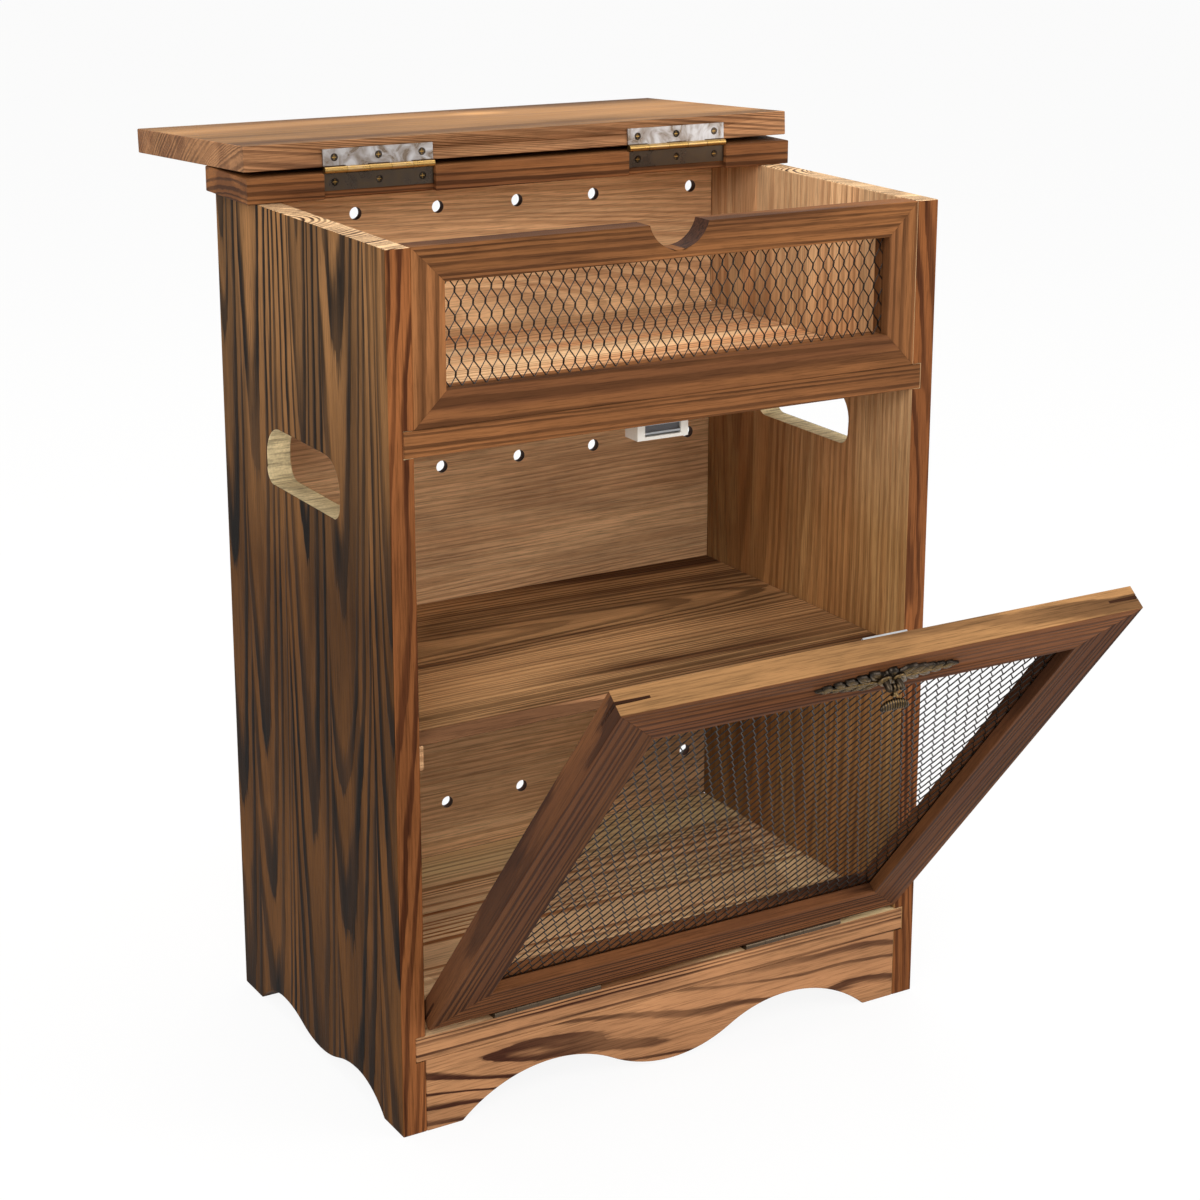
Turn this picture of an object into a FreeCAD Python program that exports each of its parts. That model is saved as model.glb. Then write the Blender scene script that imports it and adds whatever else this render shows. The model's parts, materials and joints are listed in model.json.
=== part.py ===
"""A small tilt out vegetable bin cabinet of scorched softwood boards.

Two side boards carry a bottom board and an upper board in dadoes, a loose shelf on cleats, a thin
back board with vent holes and a scalloped front apron. The open top bin has a mitred front frame with
expanded metal in it, and a lid that turns back over a fixed rail. The lower front is a mitred door
with the same metal, which tilts forward on two hinges and is held shut by a magnetic catch.

Lengths are millimetres. +X is to the right, +Y to the back and +Z up. The origin is on the floor,
midway between the sides and midway from front to back. The lid is drawn turned back on its rail, the
door tilted part open, and the grip of its pull hanging plumb.
"""
import FreeCAD, Part
import math
import os
import re

import Sketcher

# Driving sizes, each written once.
SIZES = (
    # boards
    ("board", 15.0, "thickness of the sides, boards, rails, frames, lid and apron"),
    ("cabinet_width", 362.0, "over the two sides"),
    ("side_height", 515.0, "floor to the top of a side"),
    ("side_depth", 232.0, "front to back of a side"),
    ("dado_depth", 6.0, "how far a board is let into a side"),
    ("bottom_board_height", 45.0, "floor to the underside of the bottom board"),
    ("bin_height", 99.0, "top of the upper board to the top of the sides"),
    ("back_thickness", 5.0, "thickness of the back board"),
    # shelf
    ("shelf_thickness", 9.0, "thickness of the loose shelf"),
    ("shelf_height", 228.0, "floor to the underside of the shelf"),
    ("shelf_setback", 20.0, "front of a side to the front of the shelf"),
    ("shelf_play", 0.5, "gap between the shelf and each side"),
    ("cleat_width", 12.0, "how far a cleat stands in from the side"),
    ("cleat_height", 15.0, "height of a cleat"),
    # scallops
    ("side_foot", 26.0, "depth of each foot of a side"),
    ("side_arch_rise", 15.3, "floor to the top of a side's arches"),
    ("side_arch_spread", 54.0, "middle of a side to the top of each arch"),
    ("side_lobe_height", 5.2, "floor to the low point between the side's arches"),
    ("apron_foot", 23.0, "width of each foot of the apron"),
    ("apron_arch_rise", 23.0, "floor to the top of the apron's arches"),
    ("apron_arch_spread", 83.0, "middle of the apron to the top of each arch"),
    ("apron_lobe_height", 1.2, "floor to the low point between the apron's arches"),
    # hand holes
    ("hand_hole_width", 102.0, "front to back"),
    ("hand_hole_height", 35.0, "bottom to top"),
    ("hand_hole_drop", 15.0, "underside of the upper board to its upper edge"),
    ("hand_hole_low_round", 9.0, "radius of its lower corners"),
    ("hand_hole_high_round", 19.0, "radius of its upper corners"),
    # vent holes and brads in the back board
    ("vent_radius", 4.0, "radius of a vent hole"),
    ("vent_pitch", 56.0, "between the columns of vent holes"),
    ("vent_columns", 6.0, "columns of vent holes, of which the last stands vent_edge from its side"),
    ("vent_edge", 32.0, "outside of a side to the first and to the last column"),
    ("vent_below_top", 20.0, "top of the sides to the top row"),
    ("vent_over_shelf", 90.0, "top of the shelf to the middle row"),
    ("vent_over_bottom", 36.0, "top of the bottom board to the low row"),
    ("brad_radius", 0.7, "radius of a brad"),
    ("brad_length", 19.0, "length of a brad"),
    ("brad_inset", 36.0, "inside of a side to the outer brads"),
    # top frame
    ("frame_width", 20.0, "width of the top frame's members"),
    ("notch_radius", 20.0, "radius of the finger notch"),
    ("notch_depth", 15.0, "depth of the finger notch"),
    # rail and lid
    ("lid_side_overhang", 6.0, "how far rail and lid stand past each side"),
    ("lid_front_overhang", 5.0, "how far the closed lid stands past the front"),
    ("rail_depth", 64.0, "front to back of the hinge rail"),
    ("rail_notch_depth", 3.7, "depth of the rail's notches for the hinges"),
    ("hinge_rise", 1.75, "height of the lid's axis over the rail"),
    ("lid_rest_gap", 0.1, "left between the open lid and the rail's back edge"),
    ("lid_hinge_inset", 84.0, "end of the rail to the middle of its hinge"),
    # hinges, all of one size
    ("hinge_length", 71.0, "length of a hinge along its pin"),
    ("hinge_leaf_width", 12.2, "from the pin's axis to a leaf's far edge"),
    ("leaf_thickness", 1.2, "thickness of a leaf"),
    ("knuckle_radius", 2.0, "outer radius of the knuckles"),
    ("knuckle_count", 5.0, "knuckles along a hinge"),
    ("knuckle_gap", 0.2, "between one knuckle and the next"),
    ("knuckle_clearance", 0.2, "between a knuckle and the wood that passes it"),
    ("leaf_relief", 0.4, "between a knuckle and the edge of the other leaf"),
    ("pin_radius", 0.8, "radius of a hinge pin"),
    ("pin_clearance", 0.05, "round a hinge pin"),
    ("notch_end_gap", 0.3, "hinge end to the wall of its notch"),
    # screws
    ("screw_inset", 7.2, "from a hinge's axis to its screws"),
    ("screw_spread", 28.3, "middle of a hinge to its outer screws"),
    ("screw_head_radius", 2.3, "radius of a hinge screw's head"),
    ("screw_shank_radius", 1.2, "radius of a hinge screw's shank"),
    ("screw_length", 10.0, "length of a hinge screw"),
    ("screw_clearance", 0.06, "round a screw"),
    # door
    ("door_frame_width", 31.0, "width of the door's frame members"),
    ("door_side_gap", 1.5, "door to side"),
    ("door_top_gap", 1.0, "closed door to the upper board"),
    ("door_hinge_inset", 79.0, "inside of a side to the middle of the door's hinge"),
    ("door_tilt", 39.5, "how far the door is drawn open, in degrees"),
    ("spline_leg", 20.0, "how far a corner spline runs along each edge"),
    ("spline_thickness", 1.5, "thickness of a corner spline"),
    ("spline_clearance", 0.05, "each side of a spline in its kerf"),
    # expanded metal
    ("mesh_thickness", 1.0, "thickness of the expanded metal"),
    ("mesh_tongue", 2.8, "how far the metal stands into the frame's groove"),
    ("groove_depth", 3.5, "depth of that groove"),
    ("groove_clearance", 0.1, "each side of the metal in its groove"),
    ("diamond_width", 7.4, "pitch of the diamonds across"),
    ("diamond_height", 15.5, "pitch of the diamonds upwards"),
    ("strand_width", 1.1, "width of a strand"),
    # magnetic catch
    ("catch_width", 34.0, "width of the catch's housing"),
    ("catch_depth", 14.0, "front to back of the housing"),
    ("catch_height", 13.5, "height of the housing"),
    ("catch_cavity_width", 24.0, "width of its pocket"),
    ("catch_cavity_height", 9.0, "height of its pocket"),
    ("catch_cavity_depth", 12.0, "depth of its pocket"),
    ("catch_floor", 2.0, "wall under the pocket"),
    ("catch_side_play", 0.2, "pocket wall to magnet and plates"),
    ("magnet_height", 4.0, "height of the magnet"),
    ("magnet_setback", 1.5, "pocket mouth to the magnet"),
    ("pole_thickness", 1.2, "thickness of a pole plate"),
    ("catch_screw_spread", 14.5, "middle of the catch to its screws"),
    ("catch_screw_head_radius", 1.9, "radius of a catch screw's head"),
    ("catch_screw_shank_radius", 1.0, "radius of a catch screw's shank"),
    ("catch_screw_length", 22.0, "length of a catch screw"),
    ("strike_width", 28.0, "width of the strike plate"),
    ("strike_height", 10.0, "height of the strike plate"),
    ("strike_thickness", 1.2, "thickness of the strike plate"),
    ("strike_gap", 0.3, "closed strike plate to the pole plates"),
    ("strike_screw_head_radius", 1.9, "radius of the strike plate's screw head"),
    ("strike_screw_shank_radius", 1.0, "radius of the strike plate's screw shank"),
    ("strike_screw_length", 12.0, "length of the strike plate's screw"),
    # pull
    ("pull_width", 92.0, "length of the pull's back plate"),
    ("pull_lobe_radius", 8.0, "radius of the back plate's middle lobe"),
    ("pull_tip_radius", 2.2, "radius of the back plate's end lobes"),
    ("pull_lobes", 5.0, "lobes on each side of the middle one"),
    ("pull_plate_thickness", 1.6, "thickness of the back plate"),
    ("pull_standoff", 8.0, "door face to the grip's pivot"),
    ("pull_rise", 1.0, "middle of the top rail up to the grip's pivot"),
    ("ear_spread", 4.6, "middle to the outside of each ear"),
    ("ear_thickness", 1.6, "thickness of an ear"),
    ("ear_radius", 2.6, "radius of an ear's round end"),
    ("pivot_radius", 0.9, "radius of the grip's pivot pin"),
    ("pivot_clearance", 0.1, "round the pivot pin in the grip's eye"),
    ("eye_radius", 2.4, "radius of the grip's eye"),
    ("eye_width", 5.0, "width of the grip's eye"),
    ("neck_radius", 1.5, "radius of the grip's neck"),
    ("grip_drop", 10.0, "pivot down to the middle of the grip"),
    ("grip_width", 19.0, "width of the grip"),
    ("grip_height", 8.0, "height of the grip"),
    ("grip_thickness", 5.0, "thickness of the grip"),
    ("grip_round", 1.6, "rounding of the grip's edges"),
    ("pull_screw_spread", 30.0, "middle of the pull to its screws"),
    ("pull_screw_head_radius", 1.8, "radius of a pull screw's head"),
    ("pull_screw_shank_radius", 0.9, "radius of a pull screw's shank"),
    ("pull_screw_length", 12.0, "length of a pull screw"),
)

# Sizes and places that follow from the driving sizes.
PLACES = (
    ("half_width", "cabinet_width / 2"),
    ("half_depth", "side_depth / 2"),
    ("inner_width", "cabinet_width - 2 * board"),
    ("board_depth", "side_depth - back_thickness"),
    ("back_front", "half_depth - back_thickness"),
    ("bottom_board_top", "bottom_board_height + board"),
    ("upper_board_top", "side_height - bin_height"),
    ("upper_board_height", "upper_board_top - board"),
    ("hand_hole_bottom", "upper_board_height - hand_hole_drop - hand_hole_height"),
    ("vent_row_top", "side_height - vent_below_top"),
    ("vent_row_middle", "shelf_height + shelf_thickness + vent_over_shelf"),
    ("vent_row_low", "bottom_board_top + vent_over_bottom"),
    ("brad_spread", "inner_width / 2 - brad_inset"),
    ("door_hinge_spread", "inner_width / 2 - door_hinge_inset"),
    ("rail_top", "side_height + board"),
    ("lid_width", "cabinet_width + 2 * lid_side_overhang"),
    ("lid_hinge_spread", "lid_width / 2 - lid_hinge_inset"),
    ("leaf_back", "knuckle_radius + knuckle_clearance"),
    ("leaf_face", "leaf_back - leaf_thickness"),
    ("leaf_start", "knuckle_radius + leaf_relief"),
    ("knuckle_pitch", "hinge_length / knuckle_count"),
    ("rail_front", "half_depth - rail_depth"),
    ("lid_axis_y", "rail_front + rail_notch_depth - leaf_back"),
    ("lid_axis_z", "rail_top + hinge_rise"),
    ("rail_reach", "half_depth - lid_axis_y"),
    ("lid_drop", "(2 * atan(hinge_rise / rail_reach) - atan(lid_rest_gap / rail_reach)) / 1 deg"),
    ("lid_depth", "lid_axis_y - leaf_back + half_depth + lid_front_overhang"),
    ("door_axis_y", "-half_depth"),
    ("door_axis_z", "bottom_board_top + leaf_back"),
    ("door_width", "inner_width - 2 * door_side_gap"),
    ("door_top", "upper_board_height - door_top_gap - door_axis_z"),
    ("door_height", "door_top - leaf_back"),
    ("groove_width", "mesh_thickness + 2 * groove_clearance"),
    ("kerf_width", "spline_thickness + 2 * spline_clearance"),
    ("catch_bottom", "upper_board_height - catch_height"),
    ("catch_front", "board + strike_thickness + strike_gap - half_depth"),
    ("cavity_bottom", "catch_bottom + catch_floor"),
    ("cavity_middle", "cavity_bottom + catch_cavity_height / 2"),
    ("strike_middle", "cavity_middle - door_axis_z"),
    ("pull_middle", "door_top - door_frame_width / 2"),
    ("pivot_z", "pull_middle + pull_rise"),
    ("grip_y", "door_axis_y - pull_standoff * cos(door_tilt * 1 deg) - pivot_z * sin(door_tilt * 1 deg)"),
    ("grip_z", "door_axis_z - pull_standoff * sin(door_tilt * 1 deg) + pivot_z * cos(door_tilt * 1 deg)"),
)

# How the solids of each group lie: the y and z of their axis, and their turn about it in degrees.
FRAMES = {
    "cabinet": ("0", "0", "0"),
    "lid": ("lid_axis_y", "lid_axis_z", "-180 - lid_drop"),
    "lid_leaf": ("lid_axis_y", "lid_axis_z", "-270 - lid_drop"),
    "rail_leaf": ("lid_axis_y", "lid_axis_z", "-90"),
    "door": ("door_axis_y", "door_axis_z", "door_tilt"),
    "sill_leaf": ("door_axis_y", "door_axis_z", "0"),
    "grip": ("grip_y", "grip_z", "0"),
}

# Part::Cylinder and Part::Cone stand along Z. These turn them to a row axis.
TURNS = {
    "+x": FreeCAD.Rotation(FreeCAD.Vector(0, 1, 0), 90),
    "+y": FreeCAD.Rotation(FreeCAD.Vector(1, 0, 0), -90),
    "-y": FreeCAD.Rotation(FreeCAD.Vector(1, 0, 0), 90),
    "+z": FreeCAD.Rotation(),
    "-z": FreeCAD.Rotation(FreeCAD.Vector(1, 0, 0), 180),
}

SIDEWAYS = FreeCAD.Vector(1, 0, 0)
FORWARD = FreeCAD.Vector(0, -1, 0)
VERTICAL = FreeCAD.Vector(0, 0, 1)
WAYS = (-1, 1)
SIDES = (("left", -1), ("right", 1))
MEMBERS = ("top_rail", "bottom_rail", "left_stile", "right_stile")

# A screw's recess as shares of its head's radius, and its point as shares of its shank's radius.
RECESS_REACH = 1.3
RECESS_WIDTH = 0.28
RECESS_DEPTH = 0.35
POINT_LENGTH = 2
POINT_RADIUS = 0.2

# The plain rim round expanded metal, in strands, and how many real diamonds each way one drawn
# diamond takes.
NET_RIM = 2
BIN_NET_STEP = 1
DOOR_NET_STEP = 2

doc = FreeCAD.newDocument("vegetable_cabinet")
nodes = []


def fill_sheets():
    """Writes the driving sizes as plain numbers, and the places as formulas of them."""
    sizes = doc.addObject("Spreadsheet::Sheet", "Sizes")
    for row, (alias, number, note) in enumerate(SIZES, 1):
        sizes.set("A%d" % row, note)
        sizes.set("B%d" % row, str(number))
        sizes.setAlias("B%d" % row, alias)
    places = doc.addObject("Spreadsheet::Sheet", "Places")
    for row, (alias, formula) in enumerate(PLACES, 1):
        places.set("A%d" % row, "=" + bound(formula))
        places.setAlias("A%d" % row, alias)
    doc.recompute()


def bound(formula):
    """The formula with each alias led by the name of its sheet."""
    for sheet, rows in (("Sizes", SIZES), ("Places", PLACES)):
        names = "|".join(row[0] for row in rows)
        formula = re.sub(r"(?<![\w.])(%s)(?!\w)" % names, sheet + r".\1", formula)
    return formula


def bind(thing, name, formula):
    thing.setExpression(name, bound(formula))


def value(formula):
    return float(doc.Sizes.evalExpression(bound(formula)))


def vector(*formulas):
    return FreeCAD.Vector(*[value(f) for f in formulas])


def unique(name):
    """A name for a helper object that no other object has."""
    return "%s_%d" % (name, len(doc.Objects))


# Simple shapes, with sizes and places given as formulas.


def box(name, low, size):
    thing = doc.addObject("Part::Box", unique(name))
    for side, formula in zip(("Length", "Width", "Height"), size):
        bind(thing, side, formula)
    for axis, formula in zip("xyz", low):
        bind(thing, "Placement.Base." + axis, formula)
    return thing


def rod(name, start, along, radius, length):
    thing = doc.addObject("Part::Cylinder", unique(name))
    thing.Placement = FreeCAD.Placement(FreeCAD.Vector(), TURNS[along])
    bind(thing, "Radius", radius)
    bind(thing, "Height", length)
    for axis, formula in zip("xyz", start):
        bind(thing, "Placement.Base." + axis, formula)
    return thing


def cone(name, start, along, wide, narrow, length):
    thing = doc.addObject("Part::Cone", unique(name))
    thing.Placement = FreeCAD.Placement(FreeCAD.Vector(), TURNS[along])
    bind(thing, "Radius1", wide)
    bind(thing, "Radius2", narrow)
    bind(thing, "Height", length)
    for axis, formula in zip("xyz", start):
        bind(thing, "Placement.Base." + axis, formula)
    return thing


def join(name, things):
    if len(things) == 1:
        return things[0]
    thing = doc.addObject("Part::MultiFuse", unique(name))
    thing.Shapes = things
    return thing


def carve(name, base, tools):
    thing = doc.addObject("Part::Cut", unique(name))
    thing.Base = base
    thing.Tool = join(name + "_tools", tools)
    return thing


def solid(name, shape):
    thing = doc.addObject("Part::Feature", unique(name))
    thing.Shape = shape
    return thing


def node(name, thing, frame="cabinet"):
    """Names a finished sub-part and lays it in its frame. A plain box or rod keeps its own place
    inside a compound that is laid instead."""
    y, z, turn = FRAMES[frame]
    if frame != "cabinet" and thing.TypeId in ("Part::Box", "Part::Cylinder"):
        holder = doc.addObject("Part::Compound", unique(name))
        holder.Links = [thing]
        thing = holder
    thing.Label = name
    if frame != "cabinet":
        thing.Placement = FreeCAD.Placement(
            FreeCAD.Vector(), FreeCAD.Rotation(SIDEWAYS, value(turn))
        )
        bind(thing, "Placement.Rotation.Angle", turn)
        bind(thing, "Placement.Base.y", y)
        bind(thing, "Placement.Base.z", z)
    nodes.append(thing)
    return thing


# Sketched bodies. Each corner of an outline is (across, up) or (across, up, radius, side): the edge
# that leaves it is straight, or an arc of that radius with its centre to the left or right.


def plane(body, role):
    return [feature for feature in body.Origin.OriginFeatures if feature.Role == role][0]


def new_sketch(body, role, offset="0"):
    sketch = body.newObject("Sketcher::SketchObject", unique("sketch"))
    sketch.AttachmentSupport = [(plane(body, role), "")]
    sketch.MapMode = "FlatFace"
    bind(sketch, "AttachmentOffset.Base.z", offset)
    return sketch


def arc_between(start, end, radius, centre_side):
    chord = end - start
    middle = (start + end) * 0.5
    square = FreeCAD.Vector(-chord.y, chord.x, 0).normalize()
    if centre_side == "right":
        square = square * -1
    centre = middle + square * math.sqrt(radius**2 - (chord.Length / 2) ** 2)
    return Part.Arc(start, centre - square * radius, end)


def hold(sketch, kind, first, formula):
    """Adds a driving constraint and binds it to its formula."""
    index = sketch.addConstraint(Sketcher.Constraint(kind, *first, value(formula)))
    bind(sketch, "Constraints[%d]" % index, formula)


def draw_outline(sketch, corners):
    points = [FreeCAD.Vector(value(c[0]), value(c[1]), 0) for c in corners]
    first = sketch.GeometryCount
    count = len(corners)
    for index, corner in enumerate(corners):
        start, end = points[index], points[(index + 1) % count]
        if len(corner) == 2:
            sketch.addGeometry(Part.LineSegment(start, end), False)
        else:
            sketch.addGeometry(arc_between(start, end, value(corner[2]), corner[3]), False)
    begins = []
    for index in range(count):
        near = (sketch.getPoint(first + index, 1) - points[index]).Length
        far = (sketch.getPoint(first + index, 2) - points[index]).Length
        begins.append(1 if near < far else 2)
    for index, corner in enumerate(corners):
        after = (index + 1) % count
        sketch.addConstraint(
            Sketcher.Constraint(
                "Coincident", first + index, 3 - begins[index], first + after, begins[after]
            )
        )
        hold(sketch, "DistanceX", (-1, 1, first + index, begins[index]), corner[0])
        hold(sketch, "DistanceY", (-1, 1, first + index, begins[index]), corner[1])
        if len(corner) > 2:
            hold(sketch, "Radius", (first + index,), corner[2])


def draw_circles(sketch, centres, radius):
    for across, up in centres:
        middle = FreeCAD.Vector(value(across), value(up), 0)
        index = sketch.addGeometry(Part.Circle(middle, VERTICAL, value(radius)), False)
        hold(sketch, "DistanceX", (-1, 1, index, 3), across)
        hold(sketch, "DistanceY", (-1, 1, index, 3), up)
        hold(sketch, "Radius", (index,), radius)


def rectangle(left, low, right, high):
    return ((left, low), (right, low), (right, high), (left, high))


def padded(name, role, corners, start, thickness):
    """A body whose outline lies in the YZ or XZ plane and is padded towards +X or +Y."""
    body = doc.addObject("PartDesign::Body", unique(name))
    toward_back = role == "XZ_Plane"
    sketch = new_sketch(body, role, "-(%s)" % start if toward_back else start)
    draw_outline(sketch, corners)
    pad = body.newObject("PartDesign::Pad", unique("pad"))
    pad.Profile = sketch
    pad.Reversed = toward_back
    bind(pad, "Length", thickness)
    return body


def cut_through(body, role, outlines=(), circles=(), radius="0"):
    """Pockets that run right through the body, both ways from the sketch's plane."""
    doc.recompute()
    before = body.Shape.Volume
    sketch = new_sketch(body, role)
    for corners in outlines:
        draw_outline(sketch, corners)
    draw_circles(sketch, circles, radius)
    pocket = body.newObject("PartDesign::Pocket", unique("pocket"))
    pocket.Profile = sketch
    pocket.Type = 1
    pocket.Midplane = True
    doc.recompute()
    if body.Shape.Volume >= before:
        raise RuntimeError("a pocket in %s cuts nothing" % body.Name)


# Outlines.


def scallop(foot, spread, rise, low):
    """The lower edge from one foot to the other: two arches with a lobe between them. foot is where
    a foot ends and spread where an arch tops out, both from the middle."""
    rounded = "((%s - %s)^2 + (%s)^2) / (2 * %s)" % (foot, spread, rise, rise)
    flowing = "((%s)^2 + (%s - %s)^2) / (4 * (%s - %s))" % (spread, rise, low, rise, low)
    between = "(%s + %s) / 2" % (rise, low)
    return (
        ("-(%s)" % foot, "0", rounded, "right"),
        ("-(%s)" % spread, rise, flowing, "right"),
        ("-(%s) / 2" % spread, between, flowing, "left"),
        ("0", low, flowing, "left"),
        ("(%s) / 2" % spread, between, flowing, "right"),
        (spread, rise, rounded, "right"),
        (foot, "0"),
    )


def hand_hole_outline():
    half, low, high = "hand_hole_width / 2", "hand_hole_bottom", "hand_hole_bottom + hand_hole_height"
    small, large = "hand_hole_low_round", "hand_hole_high_round"
    return (
        ("-%s + %s" % (half, small), low),
        ("%s - %s" % (half, small), low, small, "left"),
        (half, "%s + %s" % (low, small)),
        (half, "%s - %s" % (high, large), large, "left"),
        ("%s - %s" % (half, large), high),
        ("-%s + %s" % (half, large), high, large, "left"),
        ("-" + half, "%s - %s" % (high, large)),
        ("-" + half, "%s + %s" % (low, small), small, "left"),
    )


# Fasteners. A screw's head is level with z = 0 and its shank runs down.


def screw_shape(head, shank, length):
    """A countersunk wood screw with a cross recess and a tapered point."""
    taper = head - shank
    point = POINT_LENGTH * shank
    reach, width, depth = RECESS_REACH * head, RECESS_WIDTH * head, RECESS_DEPTH * taper
    body = Part.makeCone(shank, head, taper, FreeCAD.Vector(0, 0, -taper))
    core = Part.makeCylinder(shank, length - point, FreeCAD.Vector(0, 0, point - length))
    tip = Part.makeCone(POINT_RADIUS * shank, shank, point, FreeCAD.Vector(0, 0, -length))
    cross = []
    for along, across in ((reach, width), (width, reach)):
        corner = FreeCAD.Vector(-along / 2, -across / 2, -depth)
        cross.append(Part.makeBox(along, across, 2 * depth, corner))
    return body.fuse([core, tip]).removeSplitter().cut(cross)


def screws(name, kind, places, along, frame="cabinet"):
    """One node that holds a group of like screws, each at its place and driven the same way."""
    one = screw_shape(*[value(kind + part) for part in ("_head_radius", "_shank_radius", "_length")])
    group = []
    for place in places:
        copy = one.copy()
        copy.Placement = FreeCAD.Placement(vector(*place), TURNS[along])
        group.append(copy)
    return node(name, solid(name, Part.makeCompound(group)), frame)


def screw_holes(name, kind, places, along):
    """Countersunk holes to fit those screws. along points from the shank to the head."""
    back = {"+z": "-z", "-z": "+z", "+y": "-y", "-y": "+y"}[along]
    head, shank, length = kind + "_head_radius", kind + "_shank_radius", kind + "_length"
    tools = []
    for place in places:
        wide, narrow = head + " + screw_clearance", shank + " + screw_clearance"
        tools.append(cone(name, place, back, wide, narrow, "%s - %s" % (head, shank)))
        tools.append(rod(name, place, back, narrow, length + " + screw_clearance"))
    return tools


def hinge_screw_places(middle, up, across):
    """The three screws of a leaf, in a line along the hinge."""
    steps = ("-screw_spread", "0", "screw_spread")
    return [("%s + %s" % (middle, step), up, across) for step in steps]


def hinge_middles(spread):
    return [("left", "-" + spread), ("right", spread)]


# Case.


def side_panel(name, way):
    """way is -1 on the left and 1 on the right."""
    outer = "%d * half_width" % way
    start = "-half_width" if way < 0 else "half_width - board"
    low = scallop("half_depth - side_foot", "side_arch_spread", "side_arch_rise", "side_lobe_height")
    high = (
        ("half_depth", "0"),
        ("half_depth", "side_height"),
        ("-half_depth", "side_height"),
        ("-half_depth", "0"),
    )
    body = padded(name, "YZ_Plane", low + high, start, "board")
    cut_through(body, "YZ_Plane", [hand_hole_outline()])
    inside = "%s - %d * board" % (outer, way)
    deep = "%s + %d * dado_depth" % (inside, way)
    left, right = (deep, inside) if way < 0 else (inside, deep)
    dadoes = [
        rectangle(left, "bottom_board_height", right, "bottom_board_top"),
        rectangle(left, "upper_board_height", right, "upper_board_top"),
    ]
    cut_through(body, "XZ_Plane", dadoes)
    node(name, body)


def across_board(name, height):
    half = "(inner_width / 2 + dado_depth)"
    return box(name, ("-" + half, "-half_depth", height), ("2 * " + half, "board_depth", "board"))


def brad_rows():
    """Heights of the three boards that the brads enter, at the middle of their thickness."""
    return (
        "bottom_board_height + board / 2",
        "shelf_height + shelf_thickness / 2",
        "upper_board_height + board / 2",
    )


def brad_columns():
    return ("-brad_spread", "0", "brad_spread")


def brad_holes(height):
    radius = "brad_radius + screw_clearance"
    length = "brad_length - back_thickness + screw_clearance"
    return [rod("brad_hole", (x, "back_front", height), "-y", radius, length) for x in brad_columns()]


def bottom_board():
    tools = brad_holes(brad_rows()[0])
    for _, middle in hinge_middles("door_hinge_spread"):
        places = hinge_screw_places(middle, "door_axis_y + screw_inset", "door_axis_z - leaf_face")
        tools += screw_holes("sill_hole", "screw", places, "+z")
    node("bottom_board", carve("bottom_board", across_board("bottom", "bottom_board_height"), tools))


def catch_screw_places():
    y = "catch_front + catch_depth / 2"
    return [(step, y, "catch_bottom") for step in ("-catch_screw_spread", "catch_screw_spread")]


def upper_board():
    tools = brad_holes(brad_rows()[2])
    tools += screw_holes("catch_hole", "catch_screw", catch_screw_places(), "-z")
    node("upper_board", carve("upper_board", across_board("upper", "upper_board_height"), tools))


def middle_shelf():
    half = "(inner_width / 2 - shelf_play)"
    low = ("-" + half, "shelf_setback - half_depth", "shelf_height")
    plain = box("shelf", low, ("2 * " + half, "board_depth - shelf_setback", "shelf_thickness"))
    node("middle_shelf", carve("middle_shelf", plain, brad_holes(brad_rows()[1])))


def shelf_cleats():
    size = ("cleat_width", "board_depth - shelf_setback", "cleat_height")
    starts = {"left": "-inner_width / 2", "right": "inner_width / 2 - cleat_width"}
    for side, start in starts.items():
        low = (start, "shelf_setback - half_depth", "shelf_height - cleat_height")
        node("shelf_cleat_" + side, box("cleat", low, size))


def back_panel():
    corners = rectangle("-inner_width / 2", "bottom_board_height", "inner_width / 2", "side_height")
    body = padded("back_panel", "XZ_Plane", corners, "back_front", "back_thickness")
    first = "vent_edge - half_width"
    evenly = int(value("vent_columns")) - 1
    columns = ["%s + %d * vent_pitch" % (first, index) for index in range(evenly)] + ["-(%s)" % first]
    rows = ("vent_row_top", "vent_row_middle", "vent_row_low")
    cut_through(body, "XZ_Plane", circles=[(x, z) for z in rows for x in columns], radius="vent_radius")
    spots = [(x, z) for z in brad_rows() for x in brad_columns()]
    cut_through(body, "XZ_Plane", circles=spots, radius="brad_radius + screw_clearance")
    node("back_panel", body)


def back_brads():
    radius, length = value("brad_radius"), value("brad_length")
    group = []
    for height in brad_rows():
        for x in brad_columns():
            start = vector(x, "half_depth", height)
            group.append(Part.makeCylinder(radius, length, start, FORWARD))
    node("back_panel_brads", solid("back_panel_brads", Part.makeCompound(group)))


def front_apron():
    half = "inner_width / 2"
    low = scallop(half + " - apron_foot", "apron_arch_spread", "apron_arch_rise", "apron_lobe_height")
    high = (
        (half, "0"),
        (half, "bottom_board_height"),
        ("-" + half, "bottom_board_height"),
        ("-" + half, "0"),
    )
    node("front_apron", padded("front_apron", "XZ_Plane", low + high, "-half_depth", "board"))


# Mitred frames, drawn in the XZ plane.


def mitred_member(where, left, low, right, high, width, front, groove):
    """One member of a mitred frame, with the groove for the metal along its inner edge."""
    in_left, in_low = "%s + %s" % (left, width), "%s + %s" % (low, width)
    in_right, in_high = "%s - %s" % (right, width), "%s - %s" % (high, width)
    outlines = {
        "bottom_rail": ((left, low), (right, low), (in_right, in_low), (in_left, in_low)),
        "right_stile": ((right, low), (right, high), (in_right, in_high), (in_right, in_low)),
        "top_rail": ((right, high), (left, high), (in_left, in_high), (in_right, in_high)),
        "left_stile": ((left, high), (left, low), (in_left, in_low), (in_left, in_high)),
    }
    body = padded(where, "XZ_Plane", outlines[where], front, "board")
    return body, [box("groove", *groove)]


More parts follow.
